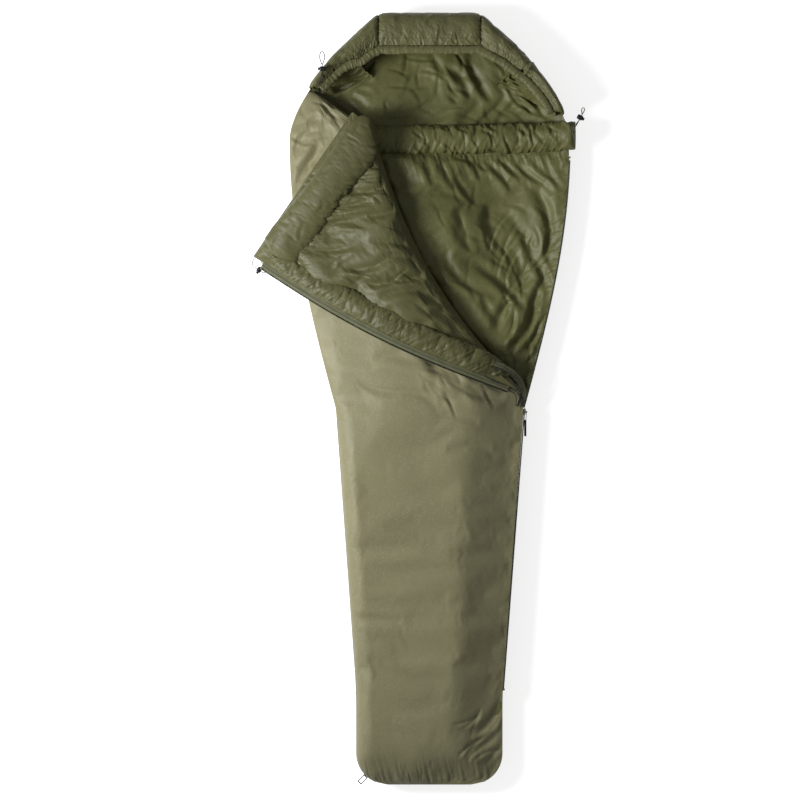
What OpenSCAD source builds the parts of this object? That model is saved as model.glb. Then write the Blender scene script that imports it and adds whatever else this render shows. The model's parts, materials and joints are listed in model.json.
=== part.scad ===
// Mummy sleeping bag, lying on its back with the zipped corner of the top panel folded open.
// Millimetres. +Y runs to the head, +Z up, z = 0 is the surface the bag lies on.
// The origin is on the centre line, half way along the underside.

/* [Bag] */
// Length from the foot end to the crown
bag_length = 2206; // [1800:1:2400]
// Width across the foot
foot_width = 420; // [340:1:520]
// Radius of the foot end's corners
foot_round = 90; // [50:1:120]
// Width where the zip starts to open, at the hips
hip_width = 537; // [480:1:640]
// Width across the shoulders
shoulder_width = 802; // [660:1:960]
// Width of the crown
crown_width = 290; // [240:1:350]
// Distance from the crown down to the widest line of the shoulders
shoulder_drop = 353; // [290:1:400]
// Height of the side seam above the surface
seam_height = 62; // [48:1:75]

/* [Padding] */
// Thickness of the underside in the middle
under_t = 34; // [28:1:42]
// Thickness of the top panel in the middle
top_t = 30; // [25:1:36]
// Thickness of the folded flap in the middle
flap_t = 30; // [25:1:36]
// Thickness of each half at a seam
edge_t = 10; // [8:1:12]
// Thickness of one fabric skin with its quilting
skin_t = 1.6; // [1.2:0.1:2]
// Height of the space for the sleeper in the middle
cavity_h = 50; // [40:1:60]

/* [Hood] */
// Width of the hood's band over the crown
band_mid = 80; // [65:1:95]
// Width of the hood's band at its ends
band_end = 30; // [26:1:36]
// Height of the hood's top
hood_h = 128; // [108:1:145]
// Thickness of the hood
hood_t = 26; // [21:1:31]
// Width of the casing along the face opening
casing_w = 20; // [17:1:23]
// Height of the casing along the face opening
casing_h = 15; // [12:1:18]

/* [Neck baffle and flap trim] */
// Width of the neck baffle
baffle_w = 85; // [70:1:100]
// Height of the neck baffle
baffle_h = 34; // [28:1:38]
// Distance from the crown to the neck baffle's middle
baffle_drop = 358; // [340:1:400]
// Width of the flap's collar at the corner
collar_w = 118; // [98:1:135]
// Width of the flap's collar at the neck
collar_neck_w = 60; // [50:1:70]
// Height of the flap's collar
collar_h = 32; // [26:1:38]
// Width of the draught tube behind the zip
draught_w = 62; // [52:1:74]
// Height of the draught tube behind the zip
draught_h = 18; // [15:1:22]

/* [Zip] */
// Distance from the foot end to the zip's bottom stop
zip_start = 271; // [225:1:320]
// Length of the closed stretch of the zip
zip_closed = 808; // [670:1:860]
// Width of one zip tape on the side seam
tape_w = 14; // [11:1:16]
// Thickness of a zip tape
tape_t = 0.8; // [0.6:0.1:1]
// Width of one closed coil
coil_w = 2.4; // [2:0.1:2.8]
// Length of the slider
slider_l = 17; // [14:1:20]
// Wall of the slider
slider_wall = 1.6; // [1.3:0.1:1.9]
// Running clearance round the slider and the pull
run_gap = 0.4; // [0.3:0.1:0.5]
// Length of the metal pull tab
tab_l = 26; // [21:1:31]
// Length of the cord loop on the pull tab
lace_l = 42; // [35:1:50]

/* [Cord locks] */
// Outer diameter of a cord lock
lock_d = 14; // [13:0.5:17]
// Length of a cord lock's barrel
lock_l = 17; // [16:0.5:20]
// Diameter of a cord lock's plunger
plunger_d = 8; // [7.6:0.1:9]
// How far a plunger is pressed in
plunger_travel = 3.5; // [3:0.1:3.8]
// Diameter of the draw cords
cord_d = 2.6; // [2.2:0.1:3]

/* [Foot loop] */
// Length of the hanging loop outside the seam
loop_l = 26; // [22:1:31]
// Width of the hanging loop's webbing
loop_w = 9; // [8:1:11]

/* [Hidden] */

olive = [0.46, 0.45, 0.34];
olive_dark = [0.36, 0.36, 0.25];
lining_olive = [0.42, 0.42, 0.28];
wadding = [0.93, 0.93, 0.9];
tape_green = [0.17, 0.18, 0.12];
black = [0.07, 0.07, 0.07];
steel = [0.62, 0.62, 0.6];

y_foot = -bag_length / 2;
y_crown = bag_length / 2;
y_shoulder = y_crown - shoulder_drop;
y_baffle = y_crown - baffle_drop;
zip_foot_y = y_foot + zip_start;
zip_top_y = zip_foot_y + zip_closed;

// ---- plan outline ----

function mix(a, b, t) = a + (b - a) * t;
function unit(v) = v / norm(v);
function clamp(t) = min(1, max(0, t));

// Half width of the bag at y
function half(y) =
    y < y_foot + foot_round ? let (d = foot_round - (y - y_foot))
            foot_width / 2 - foot_round + sqrt(max(0, foot_round ^ 2 - d ^ 2))
    : y < zip_foot_y ? foot_width / 2
    : y < zip_top_y ? mix(foot_width, hip_width, (y - zip_foot_y) / zip_closed) / 2
    : y < y_shoulder ? mix(hip_width, shoulder_width,
            sin(90 * (y - zip_top_y) / (y_shoulder - zip_top_y))) / 2
    : mix(shoulder_width, crown_width, ((y - y_shoulder) / shoulder_drop) ^ 1.6) / 2;

// Rows of the grids from the foot end to the crown
foot_rows = 4;
zip_rows = 4;
chest_rows = 6;
head_rows = 6;
rows = foot_rows + 1 + zip_rows + chest_rows + head_rows;
row_table = [
    [0, y_foot],
    [1, y_foot + foot_round * 0.08],
    [2, y_foot + foot_round * 0.3],
    [3, y_foot + foot_round * 0.62],
    [foot_rows, y_foot + foot_round],
    [foot_rows + 1, zip_foot_y],
    [foot_rows + 1 + zip_rows, zip_top_y],
    [foot_rows + 1 + zip_rows + chest_rows, y_shoulder],
    [rows, y_crown],
];
low_rows = foot_rows + 1 + zip_rows;
columns = 14;

function plan_under(u, v) = let (y = lookup(v * rows, row_table)) [(2 * u - 1) * half(y), y];

// ---- fold line and flap corners, in plan ----

// Where the fold starts at the neck and ends at the zip
fold_head = [-164, y_shoulder + 20];
fold_foot = [hip_width / 2 - 11, zip_top_y + 58];
// Corners of the folded flap: the collar's end at the neck and the free corner
flap_neck = fold_head + [-57, 45];
flap_corner = fold_head + [-342, -357];
// How far the flap's zip edge bows outwards
flap_bow = 34;
// Where the left shoulder of the top panel meets the hood
y_left_shoulder = y_shoulder + 125;
fold_head_column = 4;
fold_foot_column = 13;

function fold_edge(u) =
    let (i = u * columns)
    i < fold_head_column
        ? mix([-half(y_left_shoulder), y_left_shoulder], fold_head, i / fold_head_column)
    : i <= fold_foot_column
        ? mix(fold_head, fold_foot, (i - fold_head_column) / (fold_foot_column - fold_head_column))
    : mix(fold_foot, [half(fold_foot.y), fold_foot.y], i - fold_foot_column);

top_rows = low_rows + 6;
function plan_top(u, v) =
    let (j = v * top_rows)
    j <= low_rows ? plan_under(u, j / rows)
    : let (
        t = (j - low_rows) / (top_rows - low_rows),
        edge = fold_edge(u),
        y = mix(zip_top_y, edge.y, t),
        s = mix(2 * u - 1, edge.x / half(edge.y), t)
    ) [s * half(y), y];

// The flap's plan: u along the fold, v away from it
flap_columns = 10;
flap_rows = 9;
zip_edge_out = unit([(fold_foot - flap_corner).y, (flap_corner - fold_foot).x]);
function plan_flap(u, v) =
    mix(mix(fold_head, fold_foot, u), mix(flap_neck, flap_corner, u), v)
    + zip_edge_out * flap_bow * sin(180 * v) * u ^ 3;
// Grid lines stand closer together towards the zip edge and the collar
function near_edge(t) = 1 - (1 - t) ^ 1.6;

// ---- heights ----

// 0 in the middle and 1 on the outline and at both ends
function rim(p) =
    let (
        across = abs(p.x) / half(p.y),
        foot = clamp((y_foot + 150 - p.y) / 150),
        crown = clamp((p.y - y_crown + 120) / 120)
    ) min(1, (across ^ 6 + foot ^ 6 + crown ^ 6) ^ (1 / 6));

seam_gap = 0.4;
// Clearance between a tube that is sewn on and the curved skin below it
sewn_gap = 0.8;
// Clearance below the folded flap
flap_clear = 3.1;
// How steeply the flap hangs down past the bag's edge
flap_droop = 78;

function thick(t, q) = t - (t - edge_t) * q ^ 4;
// The underside is flat out to this share of the way to the outline, and then curves up
flat_share = 0.5;
function under_out(p) =
    (seam_height - edge_t) * max(0, (rim(p) - flat_share) / (1 - flat_share)) ^ 2.2;
function under_in(p) = under_out(p) + thick(under_t, rim(p));
function top_in(p) = under_in(p) + seam_gap + cavity_h * (1 - rim(p) ^ 3);
function top_out(p) = top_in(p) + thick(top_t, rim(p));
function flap_low(p) =
    top_out(p) + flap_clear - flap_droop * max(0, abs(p.x) / half(p.y) - 1);
function flap_high(p, u, v) =
    flap_low(p) + flap_t - (flap_t - edge_t) * max(near_edge(u), near_edge(v)) ^ 60;

function lift(p, z) = [p.x, p.y, z];

// ---- solids between two grids of points ----

// Closed solid between the grids low(u, v) and high(u, v)
module slab(nu, nv, low, high) {
    n = nu + 1;
    size = n * (nv + 1);
    a = [for (j = [0:nv]) for (i = [0:nu]) low(i / nu, j / nv)];
    b = [for (j = [0:nv]) for (i = [0:nu]) high(i / nu, j / nv)];
    m = floor(nv / 2) * n + floor(nu / 2);
    upright = cross(b[m + 1] - b[m], b[m + n] - b[m]) * (b[m] - a[m]) > 0;
    roof = [for (j = [0:nv - 1]) for (i = [0:nu - 1])
        let (k = size + j * n + i)
        each [[k, k + n, k + n + 1], [k, k + n + 1, k + 1]]];
    floor_faces = [for (f = roof) [f[2] - size, f[1] - size, f[0] - size]];
    loop = concat(
        [for (i = [0:nu - 1]) i],
        [for (j = [0:nv - 1]) j * n + nu],
        [for (i = [nu:-1:1]) nv * n + i],
        [for (j = [nv:-1:1]) j * n]
    );
    walls = [for (k = [0:len(loop) - 1])
        let (p = loop[k], q = loop[(k + 1) % len(loop)])
        each [[p, p + size, q + size], [p, q + size, q]]];
    faces = concat(roof, floor_faces, walls);
    polyhedron(concat(a, b), upright ? faces : [for (f = faces) [f[2], f[1], f[0]]]);
}

// Tube of n sides along a path, or along a part of it, wide and high across it
module tube(path, wide, high, n = 8, first = 0, last = undef) {
    end = len(path) - 1;
    stop = is_undef(last) ? end : last;
    points = [for (i = [first:stop])
        let (
            along = unit(path[min(end, i + 1)] - path[max(0, i - 1)]),
            side = unit(cross(along, abs(along.z) > 0.9 ? [0, 1, 0] : [0, 0, 1])),
            up = cross(side, along)
        )
        for (k = [0:n - 1])
            path[i] + side * cos(360 * k / n) * wide / 2 + up * sin(360 * k / n) * high / 2];
    spans = stop - first;
    walls = [for (i = [0:spans - 1]) for (k = [0:n - 1])
        let (p = i * n + k, q = i * n + (k + 1) % n)
        each [[p, q, q + n], [p, q + n, p + n]]];
    caps = [[for (k = [n - 1:-1:0]) k], [for (k = [0:n - 1]) spans * n + k]];
    polyhedron(points, concat(walls, caps));
}

// ---- underside ----

module under_layer(low, high) slab(columns, rows,
    function (u, v) let (p = plan_under(u, v)) lift(p, low(p)),
    function (u, v) let (p = plan_under(u, v)) lift(p, high(p)));

module under_shell() color(olive_dark) under_layer(
    function (p) under_out(p),
    function (p) under_out(p) + skin_t);

// The filling is sewn through in blocks, so each block is nearly convex
rim_columns = 1;
side_columns = 3;
module under_block(c0, c1, r0, r1) color(wadding) slab(c1 - c0, r1 - r0,
    function (u, v) let (p = plan_under(mix(c0, c1, u) / columns, mix(r0, r1, v) / rows))
        lift(p, under_out(p) + skin_t),
    function (u, v) let (p = plan_under(mix(c0, c1, u) / columns, mix(r0, r1, v) / rows))
        lift(p, under_in(p) - skin_t));

module under_fill_foot() under_block(0, columns, 0, foot_rows);
module under_fill_middle() under_block(side_columns, columns - side_columns, foot_rows, rows - 1);
module under_fill_crown() under_block(0, columns, rows - 1, rows);
module under_fill_left_rim_legs() under_block(0, rim_columns, foot_rows, low_rows);
module under_fill_left_rim_chest() under_block(0, rim_columns, low_rows, low_rows + chest_rows);
module under_fill_left_rim_head() under_block(0, rim_columns, low_rows + chest_rows, rows - 1);
module under_fill_left_side_legs() under_block(rim_columns, side_columns, foot_rows, low_rows);
module under_fill_left_side_chest()
    under_block(rim_columns, side_columns, low_rows, low_rows + chest_rows);
module under_fill_left_side_head()
    under_block(rim_columns, side_columns, low_rows + chest_rows, rows - 1);
module under_fill_right_side_legs()
    under_block(columns - side_columns, columns - rim_columns, foot_rows, low_rows);
module under_fill_right_side_chest()
    under_block(columns - side_columns, columns - rim_columns, low_rows, low_rows + chest_rows);
module under_fill_right_side_head()
    under_block(columns - side_columns, columns - rim_columns, low_rows + chest_rows, rows - 1);
module under_fill_right_rim_legs()
    under_block(columns - rim_columns, columns, foot_rows, low_rows);
module under_fill_right_rim_chest()
    under_block(columns - rim_columns, columns, low_rows, low_rows + chest_rows);
module under_fill_right_rim_head()
    under_block(columns - rim_columns, columns, low_rows + chest_rows, rows - 1);

module under_lining() color(lining_olive) under_layer(
    function (p) under_in(p) - skin_t,
    function (p) under_in(p));

// ---- top panel ----

module top_layer(low, high) slab(columns, top_rows,
    function (u, v) let (p = plan_top(u, v)) lift(p, low(p)),
    function (u, v) let (p = plan_top(u, v)) lift(p, high(p)));

module top_shell() color(olive) top_layer(
    function (p) top_out(p) - skin_t,
    function (p) top_out(p));

module top_fill() color(wadding) top_layer(
    function (p) top_in(p) + skin_t,
    function (p) top_out(p) - skin_t);

module top_lining() color(lining_olive) top_layer(
    function (p) top_in(p),
    function (p) top_in(p) + skin_t);

// ---- hood ----

hood_left_y = y_left_shoulder + 12;
hood_right_y = y_shoulder + 62;
hood_turn = 0.36;
hood_centre = [0, y_shoulder + 130];
hood_columns = 25;
hood_rows = 5;

// Foot of the hood along the outline, from the left end round the crown to the right end
function hood_foot(t) =
    t < hood_turn ? let (y = mix(hood_left_y, y_crown, t / hood_turn)) [-half(y), y]
    : t <= 1 - hood_turn ? [mix(-crown_width, crown_width, (t - hood_turn) / (1 - 2 * hood_turn)) / 2,
        y_crown]
    : let (y = mix(y_crown, hood_right_y, (t - 1 + hood_turn) / hood_turn)) [half(y), y];
function hood_in(t) = unit(hood_centre - hood_foot(t));
function hood_band(t) = mix(band_end, band_mid, sin(180 * t));
function hood_rim(t) = hood_foot(t) + hood_in(t) * hood_band(t);
function bezier(a, b, c, d, t) =
    a * (1 - t) ^ 3 + 3 * b * t * (1 - t) ^ 2 + 3 * c * t ^ 2 * (1 - t) + d * t ^ 3;

seam_top = seam_height + seam_gap;
rim_z = hood_h - 12;
function hood_outer(t, v) = let (foot = hood_foot(t), r = hood_rim(t)) bezier(
    lift(foot, seam_top),
    lift(foot - hood_in(t) * 4, hood_h - 8),
    lift(mix(foot, r, 0.35), hood_h + 8),
    lift(r, rim_z), v);
function hood_inner(t, v) = let (foot = hood_foot(t), r = hood_rim(t), dir = hood_in(t)) bezier(
    lift(foot + dir * edge_t, seam_top),
    lift(foot + dir * hood_t * 0.8, hood_h - 8 - hood_t * 0.8),
    lift(mix(foot + dir * hood_t * 0.5, r, 0.55), hood_h + 4 - hood_t),
    lift(r, rim_z - hood_t * 0.7), v);
// Point between the lining face (k = 0) and the shell face (k = 1)
function hood_at(t, v, k) = mix(hood_inner(t, v), hood_outer(t, v), k);

skin_share = skin_t / hood_t * 1.4;
module hood_layer(from, to, first, last) {
    span = last - first;
    slab(span, hood_rows,
        function (u, v) hood_at((first + u * span) / hood_columns, v, from),
        function (u, v) hood_at((first + u * span) / hood_columns, v, to));
}

hood_seam_left = 9;
hood_seam_right = 16;
module hood_shell_left() color(olive)
    hood_layer(1 - skin_share, 1, 0, hood_seam_left);
module hood_shell_centre() color(olive)
    hood_layer(1 - skin_share, 1, hood_seam_left, hood_seam_right);
module hood_shell_right() color(olive)
    hood_layer(1 - skin_share, 1, hood_seam_right, hood_columns);
module hood_fill() color(wadding)
    hood_layer(skin_share, 1 - skin_share, 0, hood_columns);
module hood_lining() color(lining_olive)
    hood_layer(0, skin_share, 0, hood_columns);

casing_z = rim_z - hood_t * 0.35;
function rim_normal(t) =
    let (step = hood_rim(min(1, t + 0.02)) - hood_rim(max(0, t - 0.02))) unit([step.y, -step.x]);
module casing_span(first, last) color(olive)
    tube([for (i = [0:hood_columns]) let (t = i / hood_columns)
        lift(hood_rim(t) + rim_normal(t) * (casing_w / 2 + sewn_gap), casing_z)],
        casing_w, casing_h, 10, first, last);
module hood_rim_casing_left() casing_span(0, hood_seam_left);
module hood_rim_casing_centre() casing_span(hood_seam_left, hood_seam_right);
module hood_rim_casing_right() casing_span(hood_seam_right, hood_columns);

// ---- tubes that are sewn on ----

function bulge(t) = sqrt(max(0, 1 - (2 * t - 1) ^ 2));
function on_lining(p) = under_in(p) + sewn_gap + 7 * rim(p) ^ 6;

baffle_left = 101 - shoulder_width / 2;
baffle_right = shoulder_width / 2 + 8;
function plan_baffle(u, v) = [
    mix(baffle_left, baffle_right, u),
    y_baffle + baffle_w * (v - 0.5) + 12 * u,
];
module neck_baffle() color(lining_olive) slab(14, 8,
    function (u, v) let (p = plan_baffle(u, v)) lift(p, on_lining(p)),
    function (u, v) let (p = plan_baffle(u, v))
        lift(p, on_lining(p) + 2
            + baffle_h * bulge(v) * min(1, 0.35 + 3 * u, 0.6 + 5 * (1 - u))));

// ---- flap ----

module flap_layer(low, high) slab(flap_columns, flap_rows,
    function (u, v) let (p = plan_flap(near_edge(u), near_edge(v))) lift(p, low(p, u, v)),
    function (u, v) let (p = plan_flap(near_edge(u), near_edge(v))) lift(p, high(p, u, v)));

module flap_shell() color(olive) flap_layer(
    function (p, u, v) flap_low(p),
    function (p, u, v) flap_low(p) + skin_t);

module flap_fill() color(wadding) flap_layer(
    function (p, u, v) flap_low(p) + skin_t,
    function (p, u, v) flap_high(p, u, v) - skin_t);

module flap_lining() color(lining_olive) flap_layer(
    function (p, u, v) flap_high(p, u, v) - skin_t,
    function (p, u, v) flap_high(p, u, v));

// Strips that lie on the flap reach this far from its edge
strip_gap = 6;
collar_in = unit([(flap_neck - flap_corner).y, (flap_corner - flap_neck).x]);
function plan_collar(u, v) =
    mix(flap_neck, flap_corner, mix(0.03, 0.97, u))
    + collar_in * (strip_gap + v * mix(collar_neck_w, collar_w, u ^ 0.6));
module flap_collar() color(lining_olive) slab(12, 8,
    function (u, v) let (p = plan_collar(u, v)) lift(p, flap_low(p) + flap_t + sewn_gap),
    function (u, v) let (p = plan_collar(u, v))
        lift(p, flap_low(p) + flap_t + sewn_gap + 2 + collar_h * bulge(v) * min(1, 0.5 + 3 * u)));

zip_edge_length = norm(fold_foot - flap_corner);
draught_start = 0.12;
// The draught tube stops clear of the collar, which meets the zip edge at a slant
collar_gap = 16;
corner_cos = unit(flap_neck - flap_corner) * unit(fold_foot - flap_corner);
corner_sin = sqrt(1 - corner_cos ^ 2);
draught_end = 1 - (strip_gap + collar_w + collar_gap
    + (strip_gap + draught_w) * max(0, corner_cos)) / corner_sin / zip_edge_length;
function zip_edge(v) = plan_flap(1, v);
function plan_draught(u, v) =
    zip_edge(mix(draught_start, draught_end, u)) - zip_edge_out * (strip_gap + v * draught_w);
module draught_tube() color(lining_olive) slab(14, 6,
    function (u, v) let (p = plan_draught(u, v)) lift(p, flap_low(p) + flap_t + sewn_gap),
    function (u, v) let (p = plan_draught(u, v))
        lift(p, flap_low(p) + flap_t + sewn_gap + 1.5 + draught_h * bulge(v) * min(1, 2.5 * u)));

// ---- zip ----

zip_tilt = atan2((hip_width - foot_width) / 2, zip_closed);
zip_length = norm([(hip_width - foot_width) / 2, zip_closed]);
// Local frame of the closed stretch: +X outwards, +Y up the zip, z = 0 at the side seam
module on_zip(along = 0)
    translate([foot_width / 2, zip_foot_y, seam_height + seam_gap / 2])
        rotate([0, 0, -zip_tilt])
            translate([0, along, 0])
                children();

tape_x = seam_gap;
stem_x = tape_x + tape_t;
coil_x = stem_x + 2.6;
coil_gap = 0.4;
stop_l = 5;
slider_along = zip_length - slider_l / 2 - 1;

// side = 1 for the top panel's half, -1 for the underside's half
module closed_tape(side)
    on_zip() translate([tape_x, 0, side > 0 ? coil_gap / 2 : -tape_w])
        cube([tape_t, zip_length, tape_w - coil_gap / 2]);
module closed_coil(side)
    on_zip(stop_l + 1) mirror([0, 0, side > 0 ? 0 : 1]) {
        translate([stem_x, 0, coil_gap / 2])
            cube([coil_x - stem_x, zip_length - stop_l - 1, 1.6]);
        translate([coil_x, 0, coil_gap / 2])
            cube([coil_w, zip_length - stop_l - 1, coil_w]);
    }

module zip_tape_under() color(tape_green) closed_tape(-1);
module zip_tape_top() color(tape_green) closed_tape(1);
module zip_coil_under() color(black) closed_coil(-1);
module zip_coil_top() color(black) closed_coil(1);

stop_w = 2 * coil_w + 2;
module bottom_stop() on_zip()
    translate([stem_x, 0, -stop_w / 2])
        cube([coil_x + coil_w - stem_x, stop_l, stop_w]);

// Open stretch on the underside, from the slider up to the neck
side_top_y = y_baffle - baffle_w / 2 - 4;
function side_y(u) = mix(zip_top_y + 2, side_top_y, u);
module zip_tape_side() color(tape_green) slab(16, 1,
    function (u, v) let (y = side_y(u)) [half(y) + sewn_gap, y, seam_height - tape_w * (1 - v)],
    function (u, v) let (y = side_y(u))
        [half(y) + sewn_gap + tape_t, y, seam_height - tape_w * (1 - v)]);
side_coil_x = sewn_gap + tape_t + coil_gap + coil_w / 2;
module zip_coil_side() color(black) tube(
    [for (i = [0:16]) let (y = side_y(i / 16 * 0.985)) [half(y) + side_coil_x, y, seam_height - 2]],
    coil_w, coil_w, 8);
module top_stop_side()
    translate([half(side_top_y) + side_coil_x + 0.4, side_top_y - stop_l / 2, seam_height - 2])
        cube([coil_w + 0.6, stop_l, coil_w + 1.2], center = true);

// Open stretch on the flap, from the fold to the free corner
flap_tape_w = 18;
function flap_tape_z(v) = flap_low(zip_edge(v)) + edge_t / 2;
function tape_v(u) = mix(0.03, 0.96, u);
// the stops at both ends of the underside's half
module zip_stops() color(steel) {
    bottom_stop();
    top_stop_side();
}

module zip_tape_flap() color(tape_green) slab(16, 1,
    function (u, v) lift(zip_edge(tape_v(u)) + zip_edge_out * (sewn_gap + flap_tape_w * v),
        flap_tape_z(tape_v(u))),
    function (u, v) lift(zip_edge(tape_v(u)) + zip_edge_out * (sewn_gap + flap_tape_w * v),
        flap_tape_z(tape_v(u)) + tape_t));
module zip_coil_flap() color(black) tube(
    [for (i = [0:16]) let (v = tape_v(min(0.98, i / 16)))
        lift(zip_edge(v) + zip_edge_out * flap_tape_w, flap_tape_z(v) + tape_t + coil_w / 2 + 0.3)],
    coil_w, coil_w, 8);
module zip_top_stop_flap() color(steel) let (v = tape_v(0.995))
    translate(lift(zip_edge(v) + zip_edge_out * flap_tape_w, flap_tape_z(v) + tape_t + coil_w / 2 + 1))
        rotate([0, 0, atan2(zip_edge_out.y, zip_edge_out.x)])
            cube([coil_w + 1, stop_l, coil_w + 1.2], center = true);

// Slider: a C section round both coils, with two ears for the pull's pin
slider_in = coil_w + coil_gap / 2 + run_gap;
slider_x0 = stem_x + run_gap;
slider_x1 = coil_x + coil_w + run_gap + slider_wall;
ear_gap = 5;
ear_w = 1.8;
pin_x = slider_x1 + 2.6;
pin_r = 0.9;
module zip_slider() color(steel) on_zip(slider_along) {
    difference() {
        translate([slider_x0, -slider_l / 2, -slider_in - slider_wall])
            cube([slider_x1 - slider_x0, slider_l, 2 * (slider_in + slider_wall)]);
        translate([coil_x - run_gap, -slider_l, -slider_in])
            cube([coil_w + 2 * run_gap, 2 * slider_l, 2 * slider_in]);
        translate([0, -slider_l, -coil_gap / 2 - 1.6 - run_gap])
            cube([coil_x, 2 * slider_l, 2 * (coil_gap / 2 + 1.6 + run_gap)]);
    }
    for (side = [-1, 1])
        difference() {
            translate([slider_x1 - 0.5, -2.6, side * (ear_gap + ear_w) / 2 - ear_w / 2])
                cube([pin_x + 2 - slider_x1 + 0.5, 5.2, ear_w]);
            translate([pin_x, 0, side * (ear_gap + ear_w) / 2])
                cylinder(h = 2 * ear_w, r = pin_r + 0.05, center = true, $fn = 32);
        }
}

tab_t = 1.6;
eye_r = 2.2;
module zip_pull_tab() color(steel) on_zip(slider_along) translate([pin_x, 0, 0]) {
    cylinder(h = ear_gap + 2 * ear_w, r = pin_r, center = true, $fn = 32);
    cylinder(h = ear_gap - 2 * run_gap, r = 1.7, center = true, $fn = 32);
    difference() {
        union() {
            translate([-tab_t / 2, -tab_l + 6, -2])
                cube([tab_t, tab_l - 6, 4]);
            translate([0, -tab_l + 4, 0]) rotate([0, 90, 0])
                cylinder(h = tab_t, r = 4, center = true, $fn = 40);
        }
        translate([0, -tab_l + 4, 0]) rotate([0, 90, 0])
            cylinder(h = 3 * tab_t, r = eye_r, center = true, $fn = 32);
    }
}

// Flat lace through the eye of the tab
lace_w = 3;
lace_t = 1.1;
module zip_pull_lace() color(black) on_zip(slider_along) translate([pin_x, -tab_l + 2.6, 0]) {
    for (side = [-1, 1])
        translate([side * (tab_t / 2 + run_gap + lace_t / 2) - lace_t / 2, -lace_l, -lace_w / 2])
            cube([lace_t, lace_l, lace_w]);
    translate([-tab_t / 2 - run_gap - lace_t, 0, -lace_w / 2])
        cube([tab_t + 2 * run_gap + 2 * lace_t, lace_t, lace_w]);
    translate([-tab_t / 2 - run_gap - lace_t, -lace_l - 5, -lace_w / 2 - 0.8])
        cube([tab_t + 2 * run_gap + 2 * lace_t, 5, lace_w + 1.6]);
}

// ---- cord locks ----
// Local frame of a lock: +X out of the plunger, +Y along the cord's hole.

back_wall = 1.8;
spring_room = plunger_travel + 1.5;
hole_half_x = cord_d / 2 + 0.4;
hole_half_z = cord_d + 0.5;
hole_x = back_wall + spring_room + 1.5 + hole_half_x;
plunger_out = plunger_travel + 1.5;

// Where the middle of each lock's cord hole is, and how far the lock is turned about Z
hood_lock_at = [-303, 933, 142];
hood_lock_turn = 180;
neck_lock_at = [431, 806, 84];
neck_lock_turn = -28;
flap_lock_at = [-490, 374, 44];
flap_lock_turn = 235;
module on_hood() translate(hood_lock_at) rotate([0, 0, hood_lock_turn])
    translate([-hole_x, 0, 0]) children();
module on_neck() translate(neck_lock_at) rotate([0, 0, neck_lock_turn])
    translate([-hole_x, 0, 0]) children();
module on_flap() translate(flap_lock_at) rotate([0, 0, flap_lock_turn])
    translate([-hole_x, 0, 0]) children();

module lock_body() color(black) difference() {
    rotate([0, 90, 0]) rotate_extrude($fn = 48)
        polygon([[0, 0], [lock_d / 2 - 2.5, 0], [lock_d / 2 - 0.6, 1.6], [lock_d / 2, 4],
            [lock_d / 2, lock_l - 3], [lock_d / 2 - 1.5, lock_l], [0, lock_l]]);
    translate([back_wall, 0, 0]) rotate([0, 90, 0])
        cylinder(h = lock_l, r = plunger_d / 2 + 0.1, $fn = 48);
    translate([hole_x - hole_half_x, -lock_d, -hole_half_z])
        cube([2 * hole_half_x, 2 * lock_d, 2 * hole_half_z]);
}
module lock_plunger() color([0.12, 0.12, 0.12]) difference() {
    translate([back_wall + spring_room, 0, 0]) rotate([0, 90, 0])
        cylinder(h = lock_l - back_wall - spring_room + plunger_out, r = plunger_d / 2, $fn = 48);
    translate([hole_x - hole_half_x, -lock_d, -hole_half_z])
        cube([2 * hole_half_x + plunger_travel, 2 * lock_d, 2 * hole_half_z]);
}
spring_r = plunger_d / 2 - 1.1;
spring_wire = 0.6;
spring_steps = 40;
module lock_spring() color(steel) tube(
    [for (i = [0:spring_steps]) let (a = 36 * i)
        [back_wall + spring_wire + (spring_room - 2 * spring_wire) * i / spring_steps,
            spring_r * cos(a), spring_r * sin(a)]],
    spring_wire, spring_wire, 6);

module hood_lock_body() on_hood() lock_body();
module hood_lock_plunger() on_hood() lock_plunger();
module hood_lock_spring() on_hood() lock_spring();
module neck_lock_body() on_neck() lock_body();
module neck_lock_plunger() on_neck() lock_plunger();
module neck_lock_spring() on_neck() lock_spring();
module flap_lock_body() on_flap() lock_body();
module flap_lock_plunger() on_flap() lock_plunger();
module flap_lock_spring() on_flap() lock_spring();

// ---- draw cords ----

// From the end of the hood's casing, through the lock, round a loop and back
hood_route = [
    [-311.8, 879.3, 107], [-315, 876, 110], [-318, 875, 118], [-317, 883, 127], [-312, 896, 136],
    [-306, 909, 142], [-303, 922, 143.5], [-303, 933, 143.5], [-303, 944, 143.5],
    [-299, 953, 143.5], [-296, 963, 143], [-297, 973, 142.5], [-300, 980, 142], [-304, 982, 142],
    [-308, 979, 142], [-310, 971, 142], [-310, 962, 141.5], [-307, 952, 141], [-303, 944, 140.5],
    [-303, 933, 140.5], [-303, 922, 140.5], [-300, 911, 136], [-299, 898, 130], [-299, 886, 124],
    [-300, 875, 117], [-304, 871, 110], [-307, 874, 107],
];
// From the end of the neck baffle, through the lock, round a small loop and back
neck_route = [
    [410.5, 780, 73], [414, 784, 77], [420, 789, 83], [426, 796.6, 85.5], [431, 806, 85.5],
    [436, 815.4, 85.5], [440, 822, 85], [443, 829, 84.5], [441, 834, 84], [436, 833, 84],
    [434, 826, 83.5], [436, 815.4, 82.5], [431, 806, 82.5], [426, 796.6, 82.5], [422, 789, 79],
    [417, 781, 75], [413, 775, 72], [410.5, 771, 70],
];
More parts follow.
